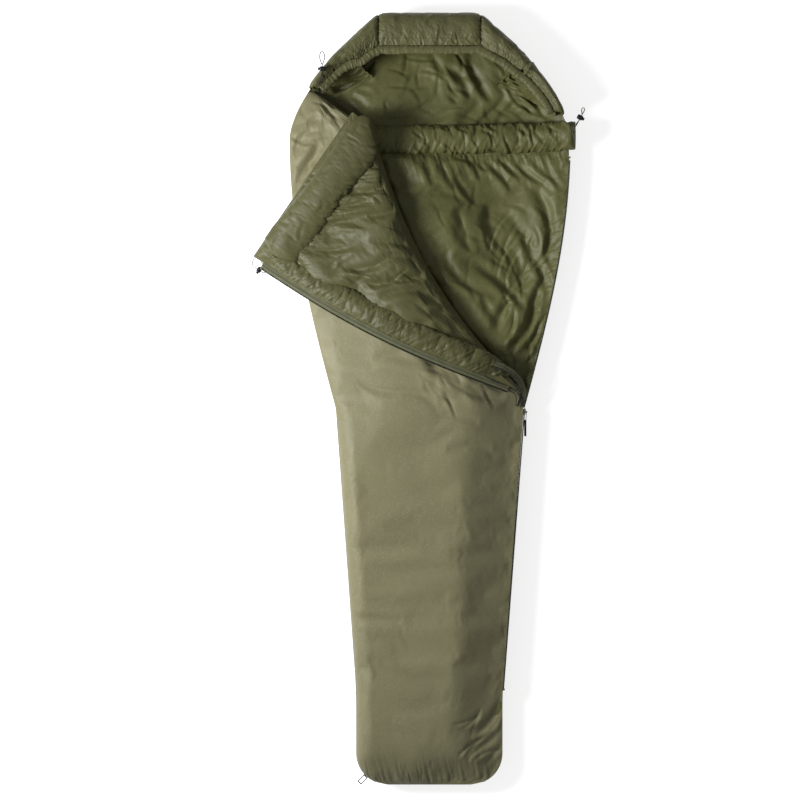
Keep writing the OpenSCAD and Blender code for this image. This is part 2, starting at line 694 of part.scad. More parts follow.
// A hoop at the flap's free corner, through the lock
flap_route = [
    [-499.7, 407.5, 52], [-505, 404, 50], [-509, 397, 48], [-509, 389, 46], [-504, 383.6, 44.5],
    [-497, 379, 44], [-490, 374, 44], [-483, 369, 44], [-476, 366, 44.5], [-470, 368, 46],
    [-468, 375, 48], [-471, 383, 50], [-477, 391, 52], [-484.4, 396.5, 54],
];
module draw_cord(route) color(black) tube(route, cord_d, cord_d, 8);
module hood_cord() draw_cord(hood_route);
module neck_cord() draw_cord(neck_route);
module flap_cord() draw_cord(flap_route);

// ---- foot loop ----

module foot_hang_loop() color(black)
    translate([-half(y_foot + 24) - 1, y_foot + 24, seam_height - loop_w / 2])
        rotate([0, 0, 225])
            linear_extrude(loop_w)
                difference() {
                    translate([0, -7]) square([loop_l, 14]);
                    translate([1.4, -5.6]) square([loop_l - 2.8, 11.2]);
                }

under_shell();
under_fill_foot();
under_fill_middle();
under_fill_crown();
under_fill_left_rim_legs();
under_fill_left_rim_chest();
under_fill_left_rim_head();
under_fill_left_side_legs();
under_fill_left_side_chest();
under_fill_left_side_head();
under_fill_right_side_legs();
under_fill_right_side_chest();
under_fill_right_side_head();
under_fill_right_rim_legs();
under_fill_right_rim_chest();
under_fill_right_rim_head();
under_lining();
top_shell();
top_fill();
top_lining();
hood_shell_left();
hood_shell_centre();
hood_shell_right();
hood_fill();
hood_lining();
hood_rim_casing_left();
hood_rim_casing_centre();
hood_rim_casing_right();
neck_baffle();
flap_shell();
flap_fill();
flap_lining();
flap_collar();
draught_tube();
zip_tape_under();
zip_tape_top();
zip_tape_side();
zip_tape_flap();
zip_coil_under();
zip_coil_top();
zip_coil_side();
zip_coil_flap();
zip_stops();
zip_top_stop_flap();
zip_slider();
zip_pull_tab();
zip_pull_lace();
hood_lock_body();
hood_lock_plunger();
hood_lock_spring();
neck_lock_body();
neck_lock_plunger();
neck_lock_spring();
flap_lock_body();
flap_lock_plunger();
flap_lock_spring();
hood_cord();
neck_cord();
flap_cord();
foot_hang_loop();
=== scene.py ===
import json
import math

import bmesh
import bpy
import numpy as np
from mathutils import Matrix, Vector, noise
from mathutils.bvhtree import BVHTree


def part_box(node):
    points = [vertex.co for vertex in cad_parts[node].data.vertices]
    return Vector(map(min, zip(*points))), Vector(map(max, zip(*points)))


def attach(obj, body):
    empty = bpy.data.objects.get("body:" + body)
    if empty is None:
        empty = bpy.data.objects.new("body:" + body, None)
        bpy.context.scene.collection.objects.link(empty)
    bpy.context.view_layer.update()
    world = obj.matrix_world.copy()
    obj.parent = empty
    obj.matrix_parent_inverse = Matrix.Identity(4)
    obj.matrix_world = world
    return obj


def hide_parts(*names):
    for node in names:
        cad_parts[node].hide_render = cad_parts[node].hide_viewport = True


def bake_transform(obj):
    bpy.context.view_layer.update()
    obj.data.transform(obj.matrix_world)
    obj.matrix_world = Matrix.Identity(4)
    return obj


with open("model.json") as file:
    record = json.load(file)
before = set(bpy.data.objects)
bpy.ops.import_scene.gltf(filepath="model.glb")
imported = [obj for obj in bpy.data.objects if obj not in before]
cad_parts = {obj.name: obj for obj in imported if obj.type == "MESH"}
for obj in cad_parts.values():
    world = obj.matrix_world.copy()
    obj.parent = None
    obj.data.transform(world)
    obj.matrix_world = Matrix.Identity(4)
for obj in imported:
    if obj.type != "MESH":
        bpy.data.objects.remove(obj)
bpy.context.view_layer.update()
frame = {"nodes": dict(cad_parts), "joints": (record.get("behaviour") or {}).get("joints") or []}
scene = bpy.context.scene
rng = np.random.default_rng(11)
print("frame loaded")

# the camera looks straight down, a little to the bag's left
view = {"centre": (-0.084, 0.0), "height": 4.5, "level": 0.09, "field": 2.28, "sensor": 36}


def makeCamera():
    data = bpy.data.cameras.new("camera")
    data.sensor_width = view["sensor"]
    data.lens = view["sensor"] * (view["height"] - view["level"]) / view["field"]
    camera = bpy.data.objects.new("camera", data)
    camera.location = (*view["centre"], view["height"])
    scene.collection.objects.link(camera)
    scene.camera = camera


makeCamera()


# nodes and shaders that the materials share
def addNode(tree, kind, settings=None, **inputs):
    node = tree.nodes.new(kind)
    for key, value in (settings or {}).items():
        setattr(node, key, value)
    for key, value in inputs.items():
        name = {"fac": "Fac", "baseColor": "Base Color"}.get(key, key.replace("_", " "))
        if isinstance(value, bpy.types.NodeSocket):
            tree.links.new(value, node.inputs[name])
        else:
            node.inputs[name].default_value = value
    return node


def startMaterial(name):
    made = bpy.data.materials.new(name)
    made.use_nodes = True
    tree = made.node_tree
    tree.nodes.clear()
    shader = tree.nodes.new("ShaderNodeBsdfPrincipled")
    out = tree.nodes.new("ShaderNodeOutputMaterial")
    tree.links.new(shader.outputs["BSDF"], out.inputs["Surface"])
    return made, tree, shader


def mixColours(tree, share, first, second):
    node = tree.nodes.new("ShaderNodeMix")
    node.data_type = "RGBA"
    for socket, value in ((node.inputs[0], share), (node.inputs[6], first), (node.inputs[7], second)):
        if isinstance(value, bpy.types.NodeSocket):
            tree.links.new(value, socket)
        else:
            socket.default_value = value
    return node.outputs[2]


def rampOf(tree, source, low, high):
    node = addNode(tree, "ShaderNodeMapRange", Value=source)
    node.inputs["From Min"].default_value = low
    node.inputs["From Max"].default_value = high
    return node.outputs["Result"]


def bumpOf(tree, height, distance, strength, before=None):
    node = addNode(tree, "ShaderNodeBump", Height=height, Distance=distance, Strength=strength)
    if before is not None:
        tree.links.new(before, node.inputs["Normal"])
    return node.outputs["Normal"]


def linear(colour, shade=1.0):
    wide = [((c + 0.055) / 1.055) ** 2.4 if c > 0.04045 else c / 12.92 for c in colour]
    return (*[min(1.0, c * shade) for c in wide], 1.0)


nylonLooks = {
    "shellNylon": {"colour": (0.505, 0.49, 0.37), "shade": 0.86, "rough": 0.52, "sheen": 0.05,
                   "crinkle": 0.3},
    "liningNylon": {"colour": (0.395, 0.395, 0.24), "shade": 0.82, "rough": 0.47, "sheen": 0.04,
                    "crinkle": 0.7},
    "collarNylon": {"colour": (0.335, 0.33, 0.205), "shade": 0.84, "rough": 0.48, "sheen": 0.04,
                    "crinkle": 0.5},
    "hoodNylon": {"colour": (0.40, 0.395, 0.26), "shade": 0.82, "rough": 0.49, "sheen": 0.04,
                  "crinkle": 0.6},
}
nylonWeave = {"thread": 0.0011, "depth": 0.00012, "patchScale": 5.0,
              "creaseScale": 13.0, "creaseDepth": 0.006}


def makeNylon(name):
    look = nylonLooks[name]
    made, tree, shader = startMaterial(name)
    place = addNode(tree, "ShaderNodeTexCoord").outputs["Object"]
    patches = addNode(tree, "ShaderNodeTexNoise", Vector=place, Scale=nylonWeave["patchScale"], Detail=4.0)
    grain = addNode(tree, "ShaderNodeTexNoise", Vector=place, Scale=240.0, Detail=3.0)
    base = linear(look["colour"])
    deep = linear(look["colour"], look["shade"])
    worn = linear([c * 1.07 for c in look["colour"]])
    cloudy = mixColours(tree, rampOf(tree, patches.outputs["Fac"], 0.35, 0.65), deep, base)
    speckled = mixColours(tree, rampOf(tree, grain.outputs["Fac"], 0.52, 0.75), cloudy, worn)
    tree.links.new(speckled, shader.inputs["Base Color"])
    # plain weave: warp and weft threads
    turns = 2 * math.pi / (20 * nylonWeave["thread"])
    warp = addNode(tree, "ShaderNodeTexWave", {"bands_direction": "X"}, Vector=place, Scale=turns)
    weft = addNode(tree, "ShaderNodeTexWave", {"bands_direction": "Y"}, Vector=place, Scale=turns)
    weave = addNode(tree, "ShaderNodeMath", {"operation": "MULTIPLY"})
    tree.links.new(warp.outputs["Fac"], weave.inputs[0])
    tree.links.new(weft.outputs["Fac"], weave.inputs[1])
    # crushed creases of two sizes
    bent = addNode(tree, "ShaderNodeTexNoise", Vector=place, Scale=6.0, Detail=2.0)
    moved = addNode(tree, "ShaderNodeVectorMath", {"operation": "MULTIPLY_ADD"})
    tree.links.new(bent.outputs["Color"], moved.inputs[0])
    moved.inputs[1].default_value = (0.09, 0.09, 0.09)
    tree.links.new(place, moved.inputs[2])
    crease = addNode(tree, "ShaderNodeTexNoise", {"noise_type": "RIDGED_MULTIFRACTAL"},
                     Vector=moved.outputs[0], Scale=nylonWeave["creaseScale"], Detail=3.0)
    soft = addNode(tree, "ShaderNodeTexNoise", Vector=moved.outputs[0], Scale=34.0, Detail=3.0)
    first = bumpOf(tree, crease.outputs["Fac"], nylonWeave["creaseDepth"], 0.45 * look["crinkle"])
    second = bumpOf(tree, soft.outputs["Fac"], 0.004, 0.5 * look["crinkle"], first)
    third = bumpOf(tree, weave.outputs[0], nylonWeave["depth"], 0.35, second)
    tree.links.new(third, shader.inputs["Normal"])
    rough = rampOf(tree, grain.outputs["Fac"], 0.2, 0.8)
    spread = addNode(tree, "ShaderNodeMapRange", Value=rough)
    spread.inputs["To Min"].default_value = look["rough"] - 0.05
    spread.inputs["To Max"].default_value = look["rough"] + 0.07
    tree.links.new(spread.outputs["Result"], shader.inputs["Roughness"])
    shader.inputs["Sheen Weight"].default_value = look["sheen"]
    shader.inputs["Sheen Roughness"].default_value = 0.35
    shader.inputs["Specular IOR Level"].default_value = 0.32
    return made


def makeTape(name, colour):
    made, tree, shader = startMaterial(name)
    place = addNode(tree, "ShaderNodeTexCoord").outputs["Object"]
    rib = addNode(tree, "ShaderNodeTexWave", {"bands_direction": "DIAGONAL"}, Vector=place, Scale=190.0,
                  Distortion=0.6, Detail=1.0)
    fuzz = addNode(tree, "ShaderNodeTexNoise", Vector=place, Scale=420.0, Detail=3.0)
    shade = mixColours(tree, rib.outputs["Fac"], linear(colour, 0.72), linear(colour))
    light = linear([c * 1.2 for c in colour])
    tree.links.new(mixColours(tree, rampOf(tree, fuzz.outputs["Fac"], 0.5, 0.8), shade, light),
                   shader.inputs["Base Color"])
    first = bumpOf(tree, rib.outputs["Fac"], 0.0003, 0.6)
    tree.links.new(bumpOf(tree, fuzz.outputs["Fac"], 0.0002, 0.4, first), shader.inputs["Normal"])
    shader.inputs["Roughness"].default_value = 0.72
    shader.inputs["Sheen Weight"].default_value = 0.2
    return made


def makePlastic(name, colour, rough):
    made, tree, shader = startMaterial(name)
    place = addNode(tree, "ShaderNodeTexCoord").outputs["Object"]
    grain = addNode(tree, "ShaderNodeTexNoise", Vector=place, Scale=900.0, Detail=2.0)
    scuff = addNode(tree, "ShaderNodeTexNoise", Vector=place, Scale=160.0, Detail=5.0)
    tree.links.new(mixColours(tree, rampOf(tree, scuff.outputs["Fac"], 0.55, 0.8), linear(colour),
                              linear([c * 1.5 for c in colour])), shader.inputs["Base Color"])
    tree.links.new(bumpOf(tree, grain.outputs["Fac"], 0.00008, 0.5), shader.inputs["Normal"])
    shader.inputs["Roughness"].default_value = rough
    return made


def makeMetal(name, colour):
    made, tree, shader = startMaterial(name)
    place = addNode(tree, "ShaderNodeTexCoord").outputs["Object"]
    worn = addNode(tree, "ShaderNodeTexNoise", Vector=place, Scale=350.0, Detail=5.0)
    share = rampOf(tree, worn.outputs["Fac"], 0.4, 0.7)
    tree.links.new(mixColours(tree, share, linear(colour, 0.6), linear(colour)),
                   shader.inputs["Base Color"])
    tree.links.new(bumpOf(tree, worn.outputs["Fac"], 0.00006, 0.4), shader.inputs["Normal"])
    spread = addNode(tree, "ShaderNodeMapRange", Value=worn.outputs["Fac"])
    spread.inputs["To Min"].default_value = 0.25
    spread.inputs["To Max"].default_value = 0.5
    tree.links.new(spread.outputs["Result"], shader.inputs["Roughness"])
    shader.inputs["Metallic"].default_value = 1.0
    return made


materials = {name: makeNylon(name) for name in nylonLooks}
materials["zipTape"] = makeTape("zipTape", (0.20, 0.21, 0.15))
materials["thread"] = makeTape("thread", (0.24, 0.235, 0.15))


def makeFlapTape():
    made = makeTape("flapTapeWeave", (0.36, 0.365, 0.25))
    tree = made.node_tree
    shader = next(n for n in tree.nodes if n.type == "BSDF_PRINCIPLED")
    was = shader.inputs["Base Color"].links[0].from_socket
    across = addNode(tree, "ShaderNodeAttribute", {"attribute_name": "across"})
    bands = addNode(tree, "ShaderNodeMath", {"operation": "PINGPONG"})
    tree.links.new(across.outputs["Fac"], bands.inputs[0])
    bands.inputs[1].default_value = 0.5
    shade = rampOf(tree, bands.outputs[0], 0.02, 0.12)
    middle = rampOf(tree, bands.outputs[0], 0.5, 0.42)
    both = addNode(tree, "ShaderNodeMath", {"operation": "MULTIPLY"})
    tree.links.new(shade, both.inputs[0])
    tree.links.new(middle, both.inputs[1])
    banded = mixColours(tree, both.outputs[0], (0.014, 0.015, 0.008, 1), was)
    tree.links.new(banded, shader.inputs["Base Color"])
    return made


materials["flapTapeWeave"] = makeFlapTape()
materials["webbing"] = makeTape("webbing", (0.13, 0.13, 0.11))
materials["braid"] = makeTape("braid", (0.10, 0.10, 0.10))
materials["coilPlastic"] = makePlastic("coilPlastic", (0.15, 0.16, 0.11), 0.42)
materials["lockPlastic"] = makePlastic("lockPlastic", (0.07, 0.07, 0.07), 0.38)
materials["sliderMetal"] = makeMetal("sliderMetal", (0.72, 0.71, 0.68))
materials["springSteel"] = makeMetal("springSteel", (0.78, 0.78, 0.78))
print("materials made")

# the bag's measures in metres; what the joints and the zip fix comes from the frame
bag = {
    "footHalf": 0.21, "footRound": 0.09, "hipHalf": 0.2685, "crownHalf": 0.145, "shoulderDrop": 0.353,
    "footBand": 0.15, "crownBand": 0.12, "edge": 0.01, "underThick": 0.034, "topThick": 0.03,
    "room": 0.05, "seamGap": 0.0004,
}
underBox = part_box("under_shell")
footY, crownY, shoulderHalf = underBox[0].y, underBox[1].y, underBox[1].x
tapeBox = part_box("zip_tape_under")
zipFootY, zipTopY = tapeBox[0].y, tapeBox[1].y
shoulderY = crownY - bag["shoulderDrop"]
seamZ = tapeBox[1].z
hinge = next(j for j in frame["joints"] if j["name"] == "flap_fold")
hingeAt = Vector(hinge["pos_m"])
hingeAxis = Vector(hinge["axis"]).normalized()


def mix(a, b, t):
    return a + (b - a) * t


def clamp(t):
    return np.clip(t, 0.0, 1.0)


def ease(t):
    t = clamp(t)
    return t * t * (3 - 2 * t)


def halfWidth(y):
    inRound = np.sqrt(np.maximum(0, bag["footRound"] ** 2 - np.minimum(0, y - footY - bag["footRound"]) ** 2))
    legs = mix(bag["footHalf"], bag["hipHalf"], clamp((y - zipFootY) / (zipTopY - zipFootY)))
    rise = clamp((y - zipTopY) / (shoulderY - zipTopY))
    chest = mix(bag["hipHalf"], shoulderHalf, np.sin(np.pi / 2 * rise))
    head = mix(shoulderHalf, bag["crownHalf"], clamp((y - shoulderY) / bag["shoulderDrop"]) ** 1.6)
    return np.where(y < footY + bag["footRound"], bag["footHalf"] - bag["footRound"] + inRound,
                    np.where(y < zipTopY, legs, np.where(y < shoulderY, chest, head)))


def rimShare(x, y):
    across = np.abs(x) / halfWidth(y)
    foot = clamp((footY + bag["footBand"] - y) / bag["footBand"])
    crown = clamp((y - crownY + bag["crownBand"]) / bag["crownBand"])
    return np.minimum(1, (across ** 6 + foot ** 6 + crown ** 6) ** (1 / 6))


def thickness(full, q):
    return full - (full - bag["edge"]) * q ** 4


def underOut(x, y):
    return (seamZ - bag["edge"]) * np.maximum(0, (rimShare(x, y) - 0.5) / 0.5) ** 2.2


def underIn(x, y):
    return underOut(x, y) + thickness(bag["underThick"], rimShare(x, y))


def topIn(x, y):
    return underIn(x, y) + bag["seamGap"] + bag["room"] * (1 - rimShare(x, y) ** 3)


def topOut(x, y):
    return topIn(x, y) + thickness(bag["topThick"], rimShare(x, y))


def roundEdge(distance, radius):
    return np.sqrt(1 - (1 - clamp(distance / radius)) ** 2)


def fromOutline(x, y):
    side = halfWidth(y) - np.abs(x)
    return np.minimum(side, np.minimum(y - footY, crownY - y))


# reading and moving the points of a mesh
def readPoints(mesh):
    flat = np.empty(len(mesh.vertices) * 3, np.float32)
    mesh.vertices.foreach_get("co", flat)
    return flat.reshape(-1, 3).astype(float)


def writePoints(mesh, points):
    mesh.vertices.foreach_set("co", np.ascontiguousarray(points, np.float32).ravel())
    mesh.update()


def readShare(mesh, name):
    flat = np.empty(len(mesh.vertices), np.float32)
    mesh.attributes[name].data.foreach_get("value", flat)
    return flat.astype(float)


def storeShare(mesh, name, values):
    layer = mesh.attributes.get(name) or mesh.attributes.new(name, "FLOAT", "POINT")
    layer.data.foreach_set("value", np.ascontiguousarray(values, np.float32))


def noiseAt(points, scale, seed=0.0):
    shift = Vector((seed * 7.1, seed * 3.7, seed * 5.3))
    return np.array([noise.noise(Vector(p) * scale + shift) for p in points])


def linkPiece(name, mesh):
    piece = bpy.data.objects.new(name, mesh)
    scene.collection.objects.link(piece)
    mesh.polygons.foreach_set("use_smooth", [True] * len(mesh.polygons))
    return piece


def gridPiece(name, columns, rows, place, flip=False, closed=False, jitter=0.25):
    bm = bmesh.new()
    bmesh.ops.create_grid(bm, x_segments=columns, y_segments=rows, size=0.5)
    if flip:
        bmesh.ops.reverse_faces(bm, faces=bm.faces[:])
    mesh = bpy.data.meshes.new(name)
    bm.to_mesh(mesh)
    bm.free()
    points = readPoints(mesh)
    u, v = points[:, 0] + 0.5, points[:, 1] + 0.5
    inner = (u > 1e-3) & (u < 1 - 1e-3) & (v > 1e-3) & (v < 1 - 1e-3)
    u = u + inner * rng.uniform(-jitter, jitter, len(u)) / columns
    v = v + inner * rng.uniform(-jitter, jitter, len(v)) / rows
    storeShare(mesh, "along", u)
    storeShare(mesh, "across", v)
    writePoints(mesh, np.stack(place(u, v), axis=1))
    if closed:
        bm = bmesh.new()
        bm.from_mesh(mesh)
        bmesh.ops.remove_doubles(bm, verts=bm.verts[:], dist=2e-5)
        bmesh.ops.recalc_face_normals(bm, faces=bm.faces[:])
        bm.to_mesh(mesh)
        bm.free()
    return linkPiece(name, mesh)


def setMaterial(piece, name):
    piece.data.materials.clear()
    piece.data.materials.append(materials[name])


# cloth settles for a few frames and keeps that shape
cloth = {"frames": 25, "quality": 5, "stretch": 8.0, "shear": 4.0, "damping": 5.0}
simmed = []


def addCloth(piece, held, slack, slackLow, slackHigh, bend=0.05, lift=0.0):
    for name, weights in (("held", held), ("slack", slack)):
        group = piece.vertex_groups.new(name=name)
        for i, weight in enumerate(np.clip(weights, 0, 1)):
            group.add([i], float(weight), "REPLACE")
    start = readPoints(piece.data)
    modifier = piece.modifiers.new("cloth", "CLOTH")
    s = modifier.settings
    s.quality = cloth["quality"]
    s.mass = 0.15
    s.tension_stiffness = s.compression_stiffness = cloth["stretch"]
    s.shear_stiffness = cloth["shear"]
    s.bending_stiffness = bend
    s.tension_damping = s.compression_damping = s.shear_damping = cloth["damping"]
    s.bending_damping = 0.3
    s.vertex_group_mass = "held"
    s.vertex_group_shrink = "slack"
    s.shrink_min = -slackLow
    s.shrink_max = -slackHigh
    s.air_damping = 2
    s.effector_weights.gravity = lift
    modifier.collision_settings.use_collision = False
    modifier.collision_settings.use_self_collision = False
    modifier.point_cache.frame_start = 1
    modifier.point_cache.frame_end = cloth["frames"]
    simmed.append((piece, start))


def applied(piece):
    depsgraph = bpy.context.evaluated_depsgraph_get()
    mesh = bpy.data.meshes.new_from_object(piece.evaluated_get(depsgraph))
    piece.modifiers.clear()
    piece.data = mesh
    mesh.polygons.foreach_set("use_smooth", [True] * len(mesh.polygons))
    return mesh


def runCloth(cap):
    for step in range(1, cloth["frames"] + 1):
        scene.frame_set(step)
    for piece, start in simmed:
        mesh = applied(piece)
        moved = readPoints(mesh) - start
        size = np.linalg.norm(moved, axis=1)
        near = np.maximum(size, 1e-9)
        moved *= (cap * np.tanh(near / cap) / near)[:, None]
        writePoints(mesh, start + moved)
        print("  ", piece.name, "moved up to", round(float(size.max()), 4))
    scene.frame_set(1)


def subdivided(piece, levels=1):
    modifier = piece.modifiers.new("smooth", "SUBSURF")
    modifier.levels = modifier.render_levels = levels
    return applied(piece)


def alongNormals(piece, distances):
    mesh = piece.data
    normals = np.empty(len(mesh.vertices) * 3, np.float32)
    mesh.vertex_normals.foreach_get("vector", normals)
    writePoints(mesh, readPoints(mesh) + normals.reshape(-1, 3) * np.asarray(distances)[:, None])


def creaseField(x, y, creases, sharp=False):
    total = np.zeros_like(x)
    for x0, y0, x1, y1, depth, width in creases:
        dx, dy = x1 - x0, y1 - y0
        length = math.hypot(dx, dy)
        reach = 0.5 * length + 5 * width
        near = np.flatnonzero((np.abs(x - (x0 + x1) / 2) < reach) & (np.abs(y - (y0 + y1) / 2) < reach))
        if len(near) == 0:
            continue
        px, py = x[near], y[near]
        t = ((px - x0) * dx + (py - y0) * dy) / length ** 2
        side = ((px - x0) * dy - (py - y0) * dx) / length
        side = side + 0.12 * length * np.sin(np.pi * t) * np.sin(70 * x0 + 110 * y0)
        fade = np.where((t > 0) & (t < 1), np.sin(np.pi * clamp(t)) ** 0.7, 0)
        fall = np.abs(side) / width
        valley = -np.exp(-fall) if sharp else -np.exp(-fall ** 2)
        ridge = 0.55 * np.exp(-((side - 1.9 * width) / (1.2 * width)) ** 2)
        total[near] += depth * fade * (valley + ridge)
    return total


def scatterCreases(count, corners, heading, spread, lengths, depths, widths):
    x0, y0, x1, y1 = corners
    made = []
    for _ in range(count):
        x, y = rng.uniform(x0, x1), rng.uniform(y0, y1)
        angle = heading(x, y) + rng.normal(0, spread)
        half = rng.uniform(*lengths) / 2
        dx, dy = math.cos(angle) * half, math.sin(angle) * half
        made.append((x - dx, y - dy, x + dx, y + dy, rng.uniform(*depths), rng.uniform(*widths)))
    return made


def puckers(along, away, pitch, decay, depth, seed, skew=0.0):
    # thin valleys that run out from a line of stitches
    points = np.stack([(along + skew * away) / pitch, away / pitch * 0.12, 0 * along], 1)
    wave = noiseAt(points, 1.0, seed)
    valley = -np.exp(-np.abs(wave) / 0.14)
    return depth * np.exp(-np.abs(away) / decay) * (valley + 0.35 + 0.6 * wave)


def lineDistance(x, y, a, b):
    dx, dy = b[0] - a[0], b[1] - a[1]
    length = math.hypot(dx, dy)
    along = ((x - a[0]) * dx + (y - a[1]) * dy) / length
    away = ((x - a[0]) * -dy + (y - a[1]) * dx) / length
    return along, away, length


def raisePoints(piece, heights):
    points = readPoints(piece.data)
    points[:, 2] += heights
    writePoints(piece.data, points)


# the fold where the top panel turns over into the flap
fold = {"bow": 0.058, "roll": 0.02, "shellGap": 0.0015, "length": 0.8487, "clear": 0.0031, "flapThick": 0.03,
        "droop": 0.078}
foldHead = np.array(hingeAt.xy)
foldDown = -np.array(hingeAxis.xy) / np.linalg.norm(hingeAxis.xy)
foldLeft = np.array([foldDown[1], -foldDown[0]])
foldSpan = fold["length"]


def rollOver(s):
    return fold["roll"] * (0.35 + 0.65 * np.sqrt(np.maximum(0, np.sin(np.pi * s))))


def foldOffset(s):
    return fold["bow"] * np.sin(np.pi * clamp(s)) + rollOver(clamp(s))


def creaseLine(s):
    reach = foldSpan * s
    off = foldOffset(s)
    return [foldHead[k] + foldDown[k] * reach + foldLeft[k] * off for k in (0, 1)]


def axisHeight(x, y):
    reach = (x - foldHead[0]) * foldDown[0] + (y - foldHead[1]) * foldDown[1]
    return hingeAt.z - reach * hingeAxis.z / math.hypot(hingeAxis.x, hingeAxis.y)


creaseSteps = np.linspace(0, 1, 240)
creaseX, creaseY = creaseLine(creaseSteps)


def fromCrease(x, y):
    reach = (x - foldHead[0]) * foldDown[0] + (y - foldHead[1]) * foldDown[1]
    aside = (x - foldHead[0]) * foldLeft[0] + (y - foldHead[1]) * foldLeft[1]
    return aside - foldOffset(reach / foldSpan)


neck = {"leftY": 0.882, "edgeRound": 0.035}


def panelRight(y):
    fromFold = np.interp(y, creaseY[::-1], creaseX[::-1])
    share = clamp((y - creaseY[0]) / (neck["leftY"] - creaseY[0]))
    neckLine = mix(creaseX[0], -halfWidth(neck["leftY"]) + 0.02, share)
    return np.where(y < creaseY[-1], halfWidth(y), np.where(y < creaseY[0], fromFold, neckLine))


def fromNeckEdge(x, y):
    x0, y0, x1, y1 = creaseX[0], creaseY[0], -halfWidth(neck["leftY"]) + 0.02, neck["leftY"]
    return ((x1 - x0) * (y0 - y) - (x0 - x) * (y1 - y0)) / math.hypot(x1 - x0, y1 - y0) * -1


# top panel: shell and lining from the foot to the fold
topPanel = {"columns": 100, "rows": 250, "leftRound": 0.05, "rightRamp": 0.175,
            "chestRound": 0.055, "flatLeft": 0.25}


def planTop(u, v):
    y = mix(footY, neck["leftY"], v)
    half = halfWidth(y)
    return mix(-half, panelRight(y), u), y


topCreases = [
    (-0.06, 0.16, 0.03, 0.06, 0.008, 0.016), (-0.16, 0.12, -0.02, 0.10, 0.005, 0.014),
    (0.00, 0.115, 0.10, 0.045, 0.010, 0.016), (0.06, 0.10, 0.13, 0.06, 0.007, 0.012),
    (0.10, 0.04, 0.22, 0.01, 0.009, 0.014), (-0.20, 0.055, -0.06, 0.03, 0.004, 0.012),
    (-0.10, 0.02, 0.02, -0.01, 0.004, 0.012), (0.02, -0.05, 0.14, -0.06, 0.004, 0.014),
    (0.05, -0.14, 0.18, -0.14, 0.0035, 0.014), (-0.24, -0.62, -0.08, -0.63, 0.003, 0.014),
    (0.12, -0.95, 0.21, -0.86, 0.008, 0.012), (0.10, -1.0, 0.20, -0.95, 0.006, 0.012),
    (-0.33, 0.77, -0.39, 0.70, 0.008, 0.012), (-0.31, 0.73, -0.38, 0.66, 0.009, 0.013),
    (-0.305, 0.70, -0.385, 0.60, 0.007, 0.012), (-0.30, 0.80, -0.35, 0.79, 0.006, 0.010),
    (-0.30, 0.66, -0.36, 0.53, 0.006, 0.014), (-0.30, 0.84, -0.29, 0.79, 0.008, 0.008),
    (-0.285, 0.83, -0.275, 0.78, 0.008, 0.007), (-0.27, 0.82, -0.262, 0.78, 0.007, 0.007),
]


def topHeight(x, y):
    legs = 1 - ease((y + 0.22) / 0.26)
    height = topOut(np.where(x < 0, x * mix(1, topPanel["flatLeft"], legs), x), y)
    nearFold = 1 - ease(fromCrease(x, y) / 0.06)
    inFold = (y > creaseY[-1] - 0.02) & (y < creaseY[0] + 0.02)
    height = np.where(inFold, mix(height, axisHeight(x, y) - fold["shellGap"], nearFold), height)
    chest = ease((y - 0.35) / 0.3)
    ramp = 1 - (1 - clamp(fromOutline(x, y) / topPanel["rightRamp"])) ** 2.3
    rounded = roundEdge(fromOutline(x, y), mix(topPanel["leftRound"], topPanel["chestRound"], chest))
    rounded = mix(rounded, ramp, ease(x / 0.10 + 0.5) * (1 - chest))
    neckRound = np.where(y > creaseY[0] - 0.03, roundEdge(fromNeckEdge(x, y), neck["edgeRound"]), 1.0)
    height = mix(seamZ + 0.0003, height, rounded)
    return height - 0.014 * (1 - neckRound)


def placeTop(u, v):
    x, y = planTop(u, v)
    wave = 0.0022 * noiseAt(np.stack([x * 6, y * 22, 0 * x], 1), 1.0, 2) + creaseField(x, y, topCreases)
    pastFold = (y < creaseY[-1]) * 1.0 + (y > creaseY[0])
    calm = ease(fromOutline(x, y) / 0.02) * ease(fromCrease(x, y) / 0.03 + pastFold)
    return x, y, topHeight(x, y) + wave * calm


topShell = gridPiece("topShell", topPanel["columns"], topPanel["rows"], placeTop)


def bordersOf(piece):
    u, v = readShare(piece.data, "along"), readShare(piece.data, "across")
    return (u < 1e-3) | (u > 1 - 1e-3) | (v < 1e-3) | (v > 1 - 1e-3)


def dressTop():
    points = readPoints(topShell.data)
    x, y = points[:, 0], points[:, 1]
    nearZip = np.exp(-((y + 0.02) / 0.10) ** 2) * clamp((x + 0.15) / 0.2)
    nearFoot = ease((footY + 0.16 - y) / 0.12)
    gather = np.exp(-(((x + 0.30) / 0.07) ** 2 + ((y - 0.74) / 0.12) ** 2))
    slack = 0.16 + 0.6 * nearZip + 0.7 * nearFoot + 0.7 * gather + 0.35 * ease((y - 0.3) / 0.3)
    held = np.where(bordersOf(topShell), 1.0, 0.02 - 0.015 * clamp(nearZip + gather))
    addCloth(topShell, held, slack, 0.004, 0.07, bend=0.08)


dressTop()
print("top panel laid out")

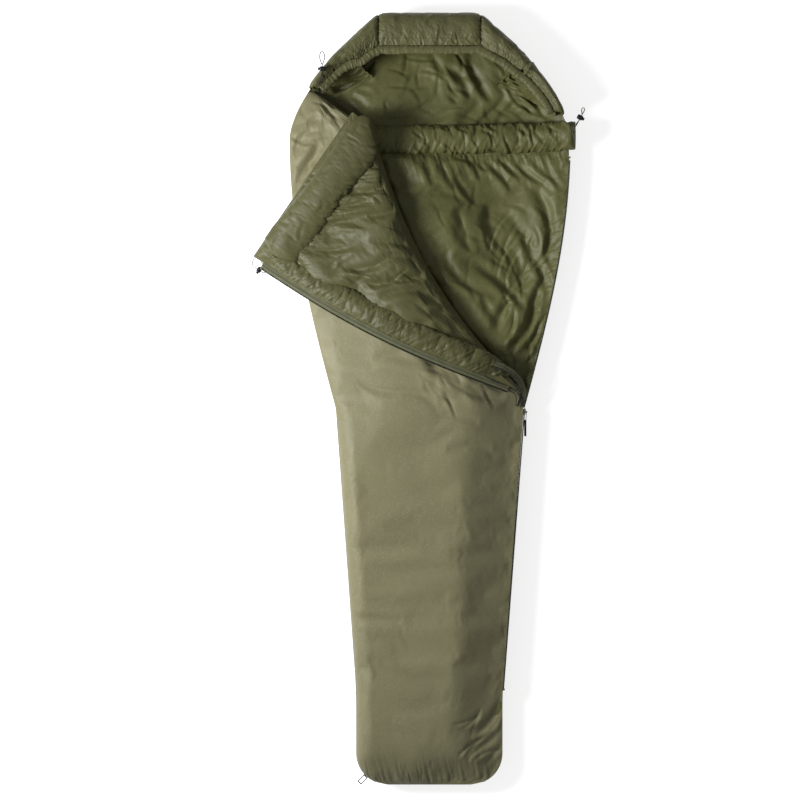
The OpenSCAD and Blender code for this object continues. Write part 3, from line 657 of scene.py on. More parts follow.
# underside: shell and lining; the fans are creases that run out of the neck's gathers
underFans = [
    (-0.285, 0.893, -0.150, 0.945, 0.010, 0.009), (-0.280, 0.887, -0.155, 0.915, 0.011, 0.009),
    (-0.275, 0.880, -0.165, 0.888, 0.010, 0.009), (-0.268, 0.873, -0.190, 0.862, 0.009, 0.008),
    (-0.255, 0.902, -0.150, 0.975, 0.010, 0.008), (-0.262, 0.868, -0.215, 0.845, 0.008, 0.008),
    (0.232, 0.930, 0.300, 0.870, 0.009, 0.008), (0.235, 0.905, 0.325, 0.835, 0.010, 0.008),
    (0.245, 0.885, 0.335, 0.820, 0.009, 0.007), (0.225, 0.945, 0.275, 0.915, 0.008, 0.007),
    (0.255, 0.865, 0.345, 0.808, 0.008, 0.007),
]
hoodFans = [
    (-0.284, 0.906, -0.196, 0.992, 0.006, 0.005), (-0.282, 0.903, -0.178, 0.985, 0.007, 0.005),
    (-0.280, 0.900, -0.166, 0.972, 0.007, 0.005), (-0.279, 0.897, -0.163, 0.957, 0.008, 0.005),
    (-0.278, 0.894, -0.172, 0.942, 0.008, 0.005), (-0.277, 0.891, -0.186, 0.928, 0.007, 0.005),
    (-0.276, 0.888, -0.203, 0.912, 0.007, 0.005), (-0.275, 0.884, -0.222, 0.896, 0.006, 0.005),
    (0.212, 0.934, 0.318, 0.818, 0.006, 0.005), (0.222, 0.942, 0.330, 0.824, 0.007, 0.005),
    (0.231, 0.950, 0.342, 0.828, 0.007, 0.005), (0.240, 0.956, 0.352, 0.832, 0.007, 0.005),
    (0.248, 0.962, 0.362, 0.836, 0.006, 0.005), (0.205, 0.925, 0.300, 0.822, 0.005, 0.005),
]
underside = {"columns": 112, "rows": 205, "hiddenTo": -0.30, "hiddenShare": 0.08, "puff": 0.034}


def planUnder(u, v):
    share = underside["hiddenShare"]
    y = np.where(v < share, mix(footY, underside["hiddenTo"], clamp(v / share)),
                 mix(underside["hiddenTo"], crownY, clamp((v - share) / (1 - share))))
    return (2 * u - 1) * halfWidth(y), y


underCreases = [
    # pleats below the neck baffle's seam
    (0.03, 0.70, 0.075, 0.60, 0.009, 0.009), (0.055, 0.70, 0.12, 0.58, 0.008, 0.008),
    (0.10, 0.70, 0.15, 0.63, 0.008, 0.008), (0.16, 0.70, 0.24, 0.60, 0.009, 0.009),
    (0.20, 0.70, 0.27, 0.63, 0.009, 0.008), (0.24, 0.70, 0.33, 0.62, 0.008, 0.009),
    (0.30, 0.70, 0.36, 0.63, 0.008, 0.008), (0.33, 0.70, 0.385, 0.60, 0.007, 0.008),
    (-0.02, 0.70, 0.01, 0.61, 0.007, 0.009), (0.13, 0.705, 0.17, 0.66, 0.006, 0.007),
    # large soft folds in the chest
    (0.30, 0.62, 0.34, 0.42, 0.010, 0.016), (0.17, 0.57, 0.20, 0.44, 0.008, 0.015),
    (0.09, 0.56, 0.12, 0.42, 0.006, 0.014), (0.22, 0.55, 0.33, 0.33, 0.007, 0.016),
    (0.13, 0.40, 0.28, 0.26, 0.009, 0.013), (0.04, 0.42, 0.17, 0.30, 0.008, 0.013),
    (0.24, 0.44, 0.27, 0.30, 0.007, 0.012), (0.31, 0.40, 0.345, 0.30, 0.009, 0.011),
    (0.33, 0.36, 0.27, 0.18, 0.010, 0.012), (0.35, 0.31, 0.25, 0.12, 0.009, 0.010),
    (0.345, 0.25, 0.26, 0.08, 0.008, 0.009), (0.30, 0.28, 0.22, 0.14, 0.008, 0.011),
    (0.23, 0.29, 0.19, 0.19, 0.008, 0.012), (0.36, 0.50, 0.35, 0.37, 0.008, 0.010),
    (0.27, 0.22, 0.24, 0.10, 0.008, 0.009), (0.15, 0.30, 0.20, 0.22, 0.007, 0.012),
    # head
    (0.04, 0.96, 0.12, 0.87, 0.008, 0.012), (0.00, 1.00, 0.05, 0.93, 0.006, 0.011),
    (0.11, 0.99, 0.18, 0.86, 0.009, 0.013), (0.08, 0.80, 0.15, 0.86, 0.008, 0.013),
    (0.14, 0.80, 0.22, 0.87, 0.009, 0.012), (0.19, 0.80, 0.27, 0.86, 0.009, 0.011),
    (-0.22, 0.87, -0.06, 0.82, 0.005, 0.014), (-0.16, 0.83, 0.02, 0.86, 0.006, 0.015),
    (0.07, 0.93, 0.16, 0.93, 0.006, 0.012), (-0.04, 0.81, 0.08, 0.85, 0.006, 0.012),
]


def placeUnderLining(u, v):
    x, y = planUnder(u, v)
    wave = 0.004 * noiseAt(np.stack([x * 9, y * 7, 0 * x], 1), 1.0, 5)
    wave += creaseField(x, y, underCreases + underFans)
    calm = ease(fromOutline(x, y) / 0.03)
    height = mix(seamZ, underIn(x, y), roundEdge(fromOutline(x, y), 0.02))
    beside = -fromCrease(x, y)
    puff = ease((beside + 0.02) / 0.05) * ease((0.30 - beside) / 0.22)
    puff = puff * ease((y - 0.02) / 0.1) * ease((0.74 - y) / 0.06)
    return x, y, height + wave * calm + underside["puff"] * puff * ease(fromOutline(x, y) / 0.1)


underLining = gridPiece("undersideLining", underside["columns"], underside["rows"], placeUnderLining)


def dressUnder():
    points = readPoints(underLining.data)
    x, y = points[:, 0], points[:, 1]
    seam = np.abs(y - 0.70) < 0.004
    belowSeam = np.exp(-((y - 0.66) / 0.05) ** 2)
    side = ease(1 - fromOutline(x, y) / 0.12)
    slack = 0.35 + 0.6 * belowSeam + 0.6 * side
    held = np.where(bordersOf(underLining) | (y < underside["hiddenTo"]), 1.0, 0.035)
    held = np.where(seam & (x > -0.3), 0.9, held)
    addCloth(underLining, held, slack, 0.03, 0.13, bend=0.12)


dressUnder()


def placeUnderShell(u, v):
    y = mix(footY, crownY, v)
    x = (2 * u - 1) * halfWidth(y)
    wave = 0.0035 * noiseAt(np.stack([x * 8, y * 14, 0 * x], 1), 1.0, 8)
    side = fromOutline(x, y)
    height = mix(seamZ - 0.0003, underOut(x, y), roundEdge(side, 0.03))
    lifted = ease(underOut(x, y) / 0.006) * ease(side / 0.02)
    return x, y, height + wave * lifted


underShell = gridPiece("undersideShell", 84, 260, placeUnderShell, flip=True)


def placeTopLining(u, v):
    x, y = planTop(u, v)
    height = mix(seamZ, topIn(x, y), roundEdge(fromOutline(x, y), 0.02))
    neckRound = np.where(y > creaseY[0] - 0.03, roundEdge(fromNeckEdge(x, y), neck["edgeRound"]), 1.0)
    wave = 0.004 * noiseAt(np.stack([x * 12, y * 12, 0 * x], 1), 1.0, 4) * ease(fromOutline(x, y) / 0.04)
    wave = wave * ease(fromCrease(x, y) / 0.03 + (y < creaseY[-1]))
    clear = 0.013 * ease(fromOutline(x, y) / 0.05)
    return x, y, np.minimum(height + wave + 0.012 * (1 - neckRound), topHeight(x, y) - clear)


topLining = gridPiece("topLining", 60, 140, placeTopLining, flip=True)
print("underside laid out")

# flap: the zipped corner of the top panel, lining up
flap = {"columns": 130, "rows": 80, "over": 0.09, "bow": 0.034, "neck": (-0.221, 0.815),
        "corner": (-0.506, 0.413)}
flapNeck, flapCorner = np.array(flap["neck"]), np.array(flap["corner"])
foldFoot = foldHead + foldDown * foldSpan
zipWay = flapCorner - foldFoot
zipOut = np.array([-zipWay[1], zipWay[0]]) / np.linalg.norm(zipWay)


def planFlap(u, v):
    points = []
    for k in (0, 1):
        inner = mix(foldHead[k], foldFoot[k], u) + foldLeft[k] * foldOffset(u) * (1 - v) ** 2
        outer = mix(flapNeck[k], flapCorner[k], u)
        points.append(mix(inner, outer, v) + zipOut[k] * flap["bow"] * np.sin(np.pi * v) * u ** 3)
    return points[0], points[1]


def flapLow(x, y):
    past = np.maximum(0, np.abs(x) / halfWidth(y) - 1)
    return topOut(x, y) + fold["clear"] - fold["droop"] * past


def flapEdges(u, v):
    return np.minimum((1 - u) * 0.62, (1 - v) * 0.36)


flapCreases = [
    (-0.27, 0.545, -0.16, 0.565, 0.007, 0.010), (-0.24, 0.60, -0.13, 0.60, 0.006, 0.010),
    (-0.30, 0.49, -0.18, 0.49, 0.006, 0.011), (-0.20, 0.52, -0.07, 0.55, 0.006, 0.011),
    (-0.33, 0.43, -0.20, 0.44, 0.006, 0.010), (-0.17, 0.45, -0.04, 0.44, 0.007, 0.012),
    (-0.26, 0.38, -0.10, 0.40, 0.006, 0.011), (-0.12, 0.34, 0.02, 0.37, 0.009, 0.012),
    (-0.14, 0.285, 0.00, 0.31, 0.008, 0.011), (-0.03, 0.30, 0.07, 0.28, 0.008, 0.011),
    (-0.20, 0.335, -0.10, 0.33, 0.007, 0.010), (0.00, 0.24, 0.11, 0.23, 0.008, 0.011),
    (0.06, 0.19, 0.15, 0.17, 0.008, 0.010), (-0.20, 0.66, -0.13, 0.65, 0.006, 0.009),
    (-0.15, 0.40, -0.02, 0.38, 0.006, 0.012), (-0.10, 0.49, 0.00, 0.47, 0.005, 0.012),
]


def placeFlapLining(u, v):
    over = clamp(v / flap["over"])
    v = clamp((v - flap["over"]) / (1 - flap["over"]))
    x, y = planFlap(u, v)
    low = flapLow(x, y)
    full = fold["flapThick"] - bag["edge"] / 2
    height = low + bag["edge"] / 2 + full * roundEdge(flapEdges(u, v), 0.05)
    root = axisHeight(x, y) + fold["shellGap"]
    nearRoot = (1 - ease(v * 0.36 / 0.15)) * (1 - ease((u - 0.85) / 0.15))
    height = mix(height, root + fold["flapThick"], nearRoot)
    wave = 0.004 * noiseAt(np.stack([x * 7, y * 16, 0 * x], 1), 1.0, 14) + creaseField(x, y, flapCreases)
    calm = (over >= 1) * ease(v * 0.36 / 0.045) * ease((1 - u) / 0.04) * ease((1 - v) / 0.06)
    angle = mix(0.05, np.pi / 2, over)
    out = rollOver(u) * np.cos(angle)
    height = mix(root, height + wave * calm, np.sin(angle))
    return x - foldLeft[0] * out, y - foldLeft[1] * out, height


flapLining = gridPiece("flapLining", flap["columns"], flap["rows"], placeFlapLining, flip=True)


def dressFlap():
    u, v = readShare(flapLining.data, "along"), readShare(flapLining.data, "across")
    held = np.where(bordersOf(flapLining), 1.0, 0.03)
    slack = 0.45 + 0.4 * ease((u - 0.3) / 0.4) + 0.3 * ease((v - 0.5) / 0.3)
    addCloth(flapLining, held, slack, 0.03, 0.12, bend=0.12)


dressFlap()


def placeFlapShell(u, v):
    x, y = planFlap(u, v)
    height = flapLow(x, y) + bag["edge"] / 2 * (1 - roundEdge(flapEdges(u, v), 0.04))
    crease = axisHeight(x, y) + fold["shellGap"]
    height = mix(height, crease, 1 - ease(v * 0.36 / 0.06))
    return x, y, height


flapShell = gridPiece("flapShell", 90, 50, placeFlapShell)

# lining from the top panel's ceiling up to the flap's rolled lining
rollRows = {"columns": 160, "rows": 12}


def placeRoll(u, v):
    cx, cy = creaseLine(u)
    bottom = topIn(cx, cy)
    axis = axisHeight(cx, cy)
    step = 1 / rollRows["rows"]
    angle = np.pi / 2 * clamp((v - step) / (1 - step))
    out = rollOver(u) * np.cos(angle) - 0.0035
    low = axis - fold["shellGap"]
    height = np.where(v < step / 2, axis + 2 * fold["shellGap"], low - (low - bottom) * np.sin(angle))
    return cx - foldLeft[0] * out, cy - foldLeft[1] * out, height


foldLining = gridPiece("foldLining", rollRows["columns"], rollRows["rows"], placeRoll, flip=True, jitter=0)


def placeShellFold(u, v):
    cx, cy = creaseLine(u)
    return cx, cy, axisHeight(cx, cy) + fold["shellGap"] * (2 * v - 1)


foldShell = gridPiece("foldShell", rollRows["columns"], 1, placeShellFold, jitter=0)
print("flap laid out")


# sewn tubes: collar, draught tube and neck baffle
def tubePoints(cx, cy, base, sideX, sideY, width, height, angle, flat=0.25):
    # section of a stuffed tube that lies on a surface at base
    lift = np.sin(angle)
    up = np.where(lift > 0, lift, lift * flat)
    out = np.cos(angle) * width / 2
    return cx + sideX * out, cy + sideY * out, base + height * (up + flat) / (1 + flat)


collar = {"columns": 120, "rows": 36, "width": 0.112, "height": 0.036, "inset": 0.004}
collarWay = (flapCorner - flapNeck) / np.linalg.norm(flapCorner - flapNeck)
collarIn = np.array([-collarWay[1], collarWay[0]])


def placeCollar(u, v):
    s = mix(-0.035, 0.93, u)
    ends = np.minimum(1, (u / 0.16) ** 0.5) * np.minimum(1, ((1 - u) / 0.05) ** 0.5)
    width = collar["width"] * ends * (1 + 0.05 * np.sin(u * 9))
    off = collar["inset"] + 0.5 * collar["width"] + 0.022 * (1 - u) - 0.03 * np.exp(-(u / 0.12) ** 2)
    cx = mix(flapNeck[0], flapCorner[0], s) + collarIn[0] * off
    cy = mix(flapNeck[1], flapCorner[1], s) + collarIn[1] * off
    base = flapLow(cx, cy) + fold["flapThick"] - 0.004
    angle = v * 2 * np.pi
    return tubePoints(cx, cy, base, collarIn[0], collarIn[1], width, collar["height"] * ends ** 0.6, angle)


flapCollar = gridPiece("flapCollar", collar["columns"], collar["rows"], placeCollar, closed=True)


def dressTube(piece, slackLow, slackHigh, hold, seam=0.55, bend=0.12):
    u, v = readShare(piece.data, "along"), readShare(piece.data, "across")
    under = (v > 0.56) & (v < 0.94)
    held = np.where(under | (u < 0.004) | (u > 0.996), 1.0, hold)
    slack = seam + (1 - seam) * np.cos(2 * np.pi * v) ** 2
    addCloth(piece, held, slack, slackLow, slackHigh, bend=bend)


dressTube(flapCollar, 0.01, 0.04, 0.05, bend=0.06)

draught = {"columns": 170, "rows": 26, "width": 0.07, "height": 0.017, "start": 0.04, "end": 0.945}


def placeDraught(u, v):
    s = mix(draught["start"], draught["end"], u)
    ex, ey = planFlap(np.ones_like(s), s)
    off = 0.001 + draught["width"] / 2 * (1 - 0.25 * ease((s - 0.6) / 0.35))
    cx, cy = ex - zipOut[0] * off, ey - zipOut[1] * off
    ends = np.minimum(1, (u / 0.12) ** 0.6) * np.minimum(1, ((1 - u) / 0.06) ** 0.5)
    base = flapLow(cx, cy) + fold["flapThick"] - 0.006
    width = draught["width"] * ends * (1 - 0.25 * ease((s - 0.6) / 0.35))
    return tubePoints(cx, cy, base, zipOut[0], zipOut[1], width, draught["height"] * ends, v * 2 * np.pi)


draughtTube = gridPiece("draughtTube", draught["columns"], draught["rows"], placeDraught, closed=True)
dressTube(draughtTube, 0.05, 0.10, 0.06, bend=0.04)

baffle = {"columns": 150, "rows": 34, "left": -0.30, "right": 0.418, "drop": 0.358, "width": 0.085,
          "rise": 0.012, "height": 0.038}


def placeBaffle(u, v):
    cx = mix(baffle["left"], baffle["right"], u)
    cy = crownY - baffle["drop"] + baffle["rise"] * u
    ends = np.minimum(1, (u / 0.05) ** 0.5) * np.minimum(1, 0.5 + 0.5 * ((1 - u) / 0.03) ** 0.5)
    base = underIn(cx, cy) + 0.007 * rimShare(cx, cy) ** 6 - 0.004
    width = baffle["width"] * (0.85 + 0.15 * ends)
    return tubePoints(cx, cy, base, 0, 1, width, baffle["height"] * ends, v * 2 * np.pi)


neckBaffle = gridPiece("neckBaffle", baffle["columns"], baffle["rows"], placeBaffle, closed=True)
dressTube(neckBaffle, 0.06, 0.15, 0.04, bend=0.03)
print("tubes laid out")

# hood: three shell panels, lining and the gathered casing round the face opening
hood = {"turn": 0.36, "leftY": 0.887, "rightY": 0.812, "centreY": 0.88, "bandMid": 0.097, "bandEnd": 0.03,
        "height": 0.128, "thick": 0.026, "seams": (9 / 25, 16 / 25), "puff": 0.013, "sunk": 0.007}


def hoodFoot(t):
    turn = hood["turn"]
    left = mix(hood["leftY"], crownY, clamp(t / turn))
    right = mix(crownY, hood["rightY"], clamp((t - 1 + turn) / turn))
    across = mix(-bag["crownHalf"], bag["crownHalf"], clamp((t - turn) / (1 - 2 * turn)))
    x = np.where(t < turn, -halfWidth(left), np.where(t <= 1 - turn, across, halfWidth(right)))
    y = np.where(t < turn, left, np.where(t <= 1 - turn, crownY, right))
    return x, y


def hoodIn(t):
    x, y = hoodFoot(t)
    length = np.hypot(x, hood["centreY"] - y)
    straight = ease((np.minimum(t, 1 - t) - 0.12) / 0.22)
    dx, dy = mix(-x / length, 0, straight), mix((hood["centreY"] - y) / length, -1, straight)
    size = np.hypot(dx, dy)
    return dx / size, dy / size


def hoodRim(t):
    x, y = hoodFoot(t)
    dx, dy = hoodIn(t)
    grow = np.minimum(1, np.sin(np.pi * clamp(t)) / 0.9) ** 2.4
    band = mix(hood["bandEnd"], hood["bandMid"], grow) - 0.014 * np.exp(-((t - 0.76) / 0.07) ** 2)
    return x + dx * band, y + dy * band


def bezier(a, b, c, d, t):
    return a * (1 - t) ** 3 + 3 * b * t * (1 - t) ** 2 + 3 * c * t ** 2 * (1 - t) + d * t ** 3


rimZ = hood["height"] - 0.012


def hoodOuter(t, v):
    fx, fy = hoodFoot(t)
    rx, ry = hoodRim(t)
    dx, dy = hoodIn(t)
    top = hood["height"]
    x = bezier(fx, fx - dx * 0.004, mix(fx, rx, 0.35), rx, v)
    y = bezier(fy, fy - dy * 0.004, mix(fy, ry, 0.35), ry, v)
    z = bezier(seamZ + 0.0004, top - 0.008, top + 0.008, rimZ, v)
    return x, y, z


def hoodPanel(name, first, last, columns):
    rows = 34

    def place(u, v):
        t = mix(first, last, u)
        x, y, z = hoodOuter(t, v)
        dx, dy = hoodIn(t)
        seam = np.minimum(u, 1 - u) * (last - first) * 1.1
        across = np.sin(np.pi * clamp(v * 0.9 + 0.05)) ** 0.5
        full = hood["puff"] * roundEdge(seam, 0.035) * across - hood["sunk"]
        lean = 1 - ease(v / 0.7)
        wave = 0.003 * noiseAt(np.stack([t * 40, v * 2.5, 0 * t], 1), 1.0, 6) * v
        return x - dx * full * lean, y - dy * full * lean, z + full * ease(v / 0.4) + wave

    piece = gridPiece(name, columns, rows, place)
    v = readShare(piece.data, "across")
    held = np.where(bordersOf(piece), 1.0, 0.05)
    addCloth(piece, held, 0.15 + 0.85 * ease((v - 0.35) / 0.5), 0.008, 0.075, bend=0.12)
    return piece


hoodLeft = hoodPanel("hoodShellLeft", 0.0, hood["seams"][0], 74)
hoodMiddle = hoodPanel("hoodShellCentre", hood["seams"][0], hood["seams"][1], 66)
hoodRight = hoodPanel("hoodShellRight", hood["seams"][1], 1.0, 74)


def placeHoodLining(u, v):
    fx, fy = hoodFoot(u)
    rx, ry = hoodRim(u)
    dx, dy = hoodIn(u)
    side = np.minimum(u, 1 - u)
    fan = np.sin(np.pi * clamp(side / 0.30)) ** 1.3
    inward = bag["edge"] + 0.015 + 0.10 * fan
    low = underIn(fx + dx * inward, fy + dy * inward) - 0.006
    x = bezier(fx + dx * inward, fx + dx * (0.021 + 0.10 * fan), mix(fx, rx, 0.9), rx, v)
    y = bezier(fy + dy * inward, fy + dy * (0.021 + 0.10 * fan), mix(fy, ry, 0.9), ry, v)
    z = bezier(low, mix(low, rimZ, 0.45), hood["height"] - 0.03, rimZ - 0.012, v)
    # pleats gathered by the cord at both ends of the face opening
    phase = v * 6.5 + 0.4 * np.sin(31 * u) + 0.2 * np.sin(67 * u + 1)
    pleat = 1 - 2 * np.abs(phase - np.floor(phase) - 0.5) * 2
    z = z + pleat * 0.0075 * fan * np.sin(np.pi * clamp(v)) ** 0.4
    return x, y, z


hoodLining = gridPiece("hoodLining", 170, 44, placeHoodLining, flip=True)


def dressHoodLining():
    held = np.where(bordersOf(hoodLining), 1.0, 0.05)
    addCloth(hoodLining, held, np.ones(len(held)), 0.05, 0.07, bend=0.1)


dressHoodLining()

casing = {"columns": 460, "rows": 18, "width": 0.027, "height": 0.015}


def placeCasing(u, v):
    step = 0.01
    x0, y0 = hoodRim(clamp(u - step))
    x1, y1 = hoodRim(clamp(u + step))
    length = np.hypot(x1 - x0, y1 - y0)
    nx, ny = (y1 - y0) / length, -(x1 - x0) / length
    rx, ry = hoodRim(u)
    cx, cy = rx + nx * (casing["width"] / 2 - 0.003), ry + ny * (casing["width"] / 2 - 0.003)
    ends = np.minimum(1, (u / 0.006) ** 0.5) * np.minimum(1, ((1 - u) / 0.006) ** 0.5)
    angle = v * 2 * np.pi
    ridge = noiseAt(np.stack([u * 95, 0.6 * np.cos(angle) + u * 20, 0.6 * np.sin(angle)], 1), 1.0, 9)
    swell = 1 + ends * (0.16 * ridge - 0.14 * np.exp(-np.abs(ridge) / 0.09)) + 0.05 * np.sin(u * 50)
    width, height = casing["width"] * ends * swell, casing["height"] * ends * swell
    z = rimZ - hood["thick"] * 0.35
    out = np.cos(angle) * width / 2
    return cx + nx * out, cy + ny * out, z + np.sin(angle) * height / 2


hoodCasing = gridPiece("hoodCasing", casing["columns"], casing["rows"], placeCasing, closed=True, jitter=0.1)
print("hood laid out")

# zip: woven tape and wound coils on both halves
zips = {"tape": 0.020, "pitch": 0.0016, "coil": 0.0015, "wire": 0.0006}


def smoothPath(points, u):
    spots = np.array([points[0], *points, points[-1]], float)
    at = clamp(u) * (len(points) - 1)
    k = np.minimum(at.astype(int), len(points) - 2)
    t = (at - k)[:, None]
    a, b, c, d = spots[k], spots[k + 1], spots[k + 2], spots[k + 3]
    bent = (2 * a - 5 * b + 4 * c - d) * t ** 2
    return 0.5 * (2 * b + (c - a) * t + bent + (3 * b - a - 3 * c + d) * t ** 3)


def ribbonPiece(name, path, width, columns, tilt):
    def place(u, v):
        here, ahead, behind = path(u), path(clamp(u + 0.004)), path(clamp(u - 0.004))
        way = ahead - behind
        way /= np.linalg.norm(way, axis=1)[:, None]
        side = np.stack([way[:, 1], -way[:, 0], 0 * u], 1)
        side /= np.linalg.norm(side, axis=1)[:, None]
        off = (v - 0.5) * width
        spot = here + side * off[:, None]
        cup = 0.0012 * np.cos(np.pi * (v - 0.5) * 3)
        cup += 0.0012 * noiseAt(np.stack([u * 30, v, 0 * u], 1), 1.0, 21)
        return spot[:, 0], spot[:, 1], spot[:, 2] + tilt * off + cup

    return gridPiece(name, columns, 8, place, jitter=0)


def coilPiece(name, path, length):
    turns = int(length / zips["pitch"])

    def place(u, v):
        here, ahead = path(clamp(u)), path(clamp(u + 0.002))
        way = ahead - path(clamp(u - 0.002))
        way /= np.linalg.norm(way, axis=1)[:, None]
        side = np.stack([way[:, 1], -way[:, 0], 0 * u], 1)
        side /= np.linalg.norm(side, axis=1)[:, None]
        up = np.cross(side, way)
        turn = 2 * np.pi * turns * u
        out = side * np.cos(turn)[:, None] + up * (0.7 * np.sin(turn))[:, None]
        ring = 2 * np.pi * v
        spot = here + out * (zips["coil"] + zips["wire"] * np.cos(ring))[:, None]
        spot = spot + way * (zips["wire"] * np.sin(ring))[:, None]
        return spot[:, 0], spot[:, 1], spot[:, 2]

    return gridPiece(name, turns * 7, 4, place, closed=True, jitter=0)


def flapEdgePath(out, lift):
    def path(u):
        s = mix(0.03, 0.96, u)
        x, y = planFlap(np.ones_like(s), s)
        x, y = x + zipOut[0] * out, y + zipOut[1] * out
        return np.stack([x, y, flapLow(x, y) + lift], 1)

    return path


flapTape = ribbonPiece("flapZipTape", flapEdgePath(zips["tape"] / 2 - 0.002, 0.006), zips["tape"], 260, 0.15)
flapCoil = coilPiece("flapZipCoil", flapEdgePath(zips["tape"] - 0.0015, 0.0065), 0.79)


def sidePath(u):
    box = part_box("zip_coil_side")
    y = mix(box[0].y, box[1].y, u)
    return np.stack([halfWidth(y) + 0.0032, y, 0 * y + (box[0].z + box[1].z) / 2], 1)


def straightPath(node):
    low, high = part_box(node)
    z = (low.z + high.z) / 2
    ends = np.array([[low.x + 0.0012, low.y, z], [high.x - 0.0012, high.y, z]])
    return lambda u: mix(ends[0][None, :], ends[1][None, :], u[:, None])


sideCoil = coilPiece("sideZipCoil", sidePath, 0.72)
underCoil = coilPiece("closedZipCoilLow", straightPath("zip_coil_under"), 0.80)
topCoil = coilPiece("closedZipCoilHigh", straightPath("zip_coil_top"), 0.80)

twist = {
    "upper": [(0.2590, -0.020, 0.068), (0.2660, 0.004, 0.076), (0.2655, 0.030, 0.092), (0.2520, 0.058, 0.112),
              (0.2230, 0.084, 0.130), (0.1750, 0.103, 0.141), (0.1150, 0.104, 0.128)],
    "lower": [(0.2545, -0.016, 0.069), (0.2560, 0.008, 0.078), (0.2420, 0.027, 0.087), (0.2080, 0.037, 0.098),
              (0.1650, 0.054, 0.108), (0.1250, 0.086, 0.120)],
}
twistUpper = ribbonPiece("zipTwistUpper", lambda u: smoothPath(twist["upper"], u), 0.019, 90, -0.15)
twistLower = ribbonPiece("zipTwistLower", lambda u: smoothPath(twist["lower"], u), 0.016, 80, 0.1)


def twistEdge(name, off, lift):
    def path(u):
        spots, ahead = smoothPath(twist[name], u), smoothPath(twist[name], clamp(u + 0.01))
        way = ahead - smoothPath(twist[name], clamp(u - 0.01))
        way /= np.linalg.norm(way, axis=1)[:, None]
        return spots + np.stack([way[:, 1] * off, -way[:, 0] * off, 0 * u + lift], 1)

    return path


twistCoilUpper = coilPiece("zipTwistCoilUpper", twistEdge("upper", -0.009, 0.0035), 0.21)
twistCoilLower = coilPiece("zipTwistCoilLower", twistEdge("lower", 0.0078, 0.003), 0.17)
lace = {"width": 0.0065, "thick": 0.0032}


def placeLace(u, v):
    low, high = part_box("zip_pull_lace")
    ends = np.minimum(1, (np.minimum(u, 1 - u) / 0.05) ** 0.5)
    x = (low.x + high.x) / 2 + np.cos(2 * np.pi * v) * lace["width"] / 2 * ends * (1 + 0.06 * np.sin(60 * u))
    z = (low.z + high.z) / 2 + np.sin(2 * np.pi * v) * lace["thick"] / 2 * ends
    return x, mix(high.y, low.y, u), z


pullLace = gridPiece("pullLace", 60, 12, placeLace, closed=True, jitter=0)
print("zip laid out")

runCloth(0.022)
print("cloth settled")

for piece in (topShell, underLining, flapLining, neckBaffle, draughtTube, flapCollar, hoodLining,
              hoodLeft, hoodMiddle, hoodRight):
    subdivided(piece)


# sharp creases and the puckers along the seams, pressed in after the cloth has settled
def planOf(piece):
    points = readPoints(piece.data)
    return points[:, 0], points[:, 1]


def creaseUnderside():
    x, y = planOf(underLining)
    right = scatterCreases(46, (0.20, 0.06, 0.38, 0.50),
                           lambda a, b: math.radians(62), 0.35, (0.05, 0.14), (0.002, 0.005), (0.004, 0.007))
    middle = scatterCreases(42, (-0.02, 0.30, 0.33, 0.66),
                            lambda a, b: math.radians(-55), 0.6,
                            (0.04, 0.11), (0.0015, 0.004), (0.004, 0.008))
    head = scatterCreases(34, (-0.12, 0.80, 0.27, 0.99),
                          lambda a, b: math.radians(-48), 0.7, (0.03, 0.10), (0.002, 0.004), (0.004, 0.007))
    height = creaseField(x, y, right + middle + head + hoodFans, sharp=True)
    seam = y - 0.70
    height += puckers(x, seam, 0.011, 0.035, 0.005, 3, 0.35) * (seam < 0.01)
    edge = fromOutline(x, y)
    height += puckers(y, edge, 0.012, 0.03, 0.004, 6, 0.5)
    raisePoints(underLining, height * ease(edge / 0.006))


def creaseFlap():
    x, y = planOf(flapLining)
    across = scatterCreases(58, (-0.36, 0.22, 0.16, 0.70),
                            lambda a, b: math.radians(-4), 0.35,
                            (0.03, 0.10), (0.0015, 0.004), (0.003, 0.006))
    height = creaseField(x, y, across, sharp=True)
    along, away = lineDistance(x, y, flapNeck, flapCorner)[:2]
    seam = away - collar["width"] - 0.012
    height += puckers(along, seam, 0.012, 0.04, 0.005, 8, 0.8) * (seam > -0.01)
    along, away = lineDistance(x, y, foldFoot, flapCorner)[:2]
    seam = -away + draught["width"] - 0.02
    height += puckers(along, seam, 0.010, 0.03, 0.004, 5, -0.4) * (np.abs(seam) < 0.15)
    raisePoints(flapLining, height * (fromCrease(x, y) > 0.002))


def creaseTubes():
    x, y = planOf(neckBaffle)
    middle = crownY - baffle["drop"] + 0.006
    bent = scatterCreases(60, (-0.05, 0.70, 0.41, 0.80),
                          lambda a, b: math.radians(-60), 0.4, (0.02, 0.06), (0.002, 0.006), (0.003, 0.006))
    height = creaseField(x, y, bent, sharp=True)
    height += puckers(x, y - (middle - baffle["width"] / 2), 0.011, 0.025, 0.005, 2, -0.5)
    height += puckers(x, (middle + baffle["width"] / 2) - y, 0.012, 0.02, 0.004, 4, 0.5)
    alongNormals(neckBaffle, height)
    x, y = planOf(draughtTube)
    along, away = lineDistance(x, y, foldFoot, flapCorner)[:2]
    height = puckers(along, -away - 0.008, 0.010, 0.03, 0.0045, 7, 0.8)
    height += puckers(along, -away - 0.062, 0.011, 0.03, 0.0045, 9, 0.9)
    alongNormals(draughtTube, height)
    x, y = planOf(flapCollar)
    along, away, length = lineDistance(x, y, flapNeck, flapCorner)
    height = puckers(along, collar["width"] + 0.01 - away, 0.016, 0.02, 0.005, 1, -0.7)
    bent = scatterCreases(26, (-0.46, 0.42, -0.20, 0.78),
                          lambda a, b: math.radians(-125), 0.35, (0.03, 0.09), (0.001, 0.003), (0.004, 0.006))
    alongNormals(flapCollar, height + creaseField(x, y, bent, sharp=True))


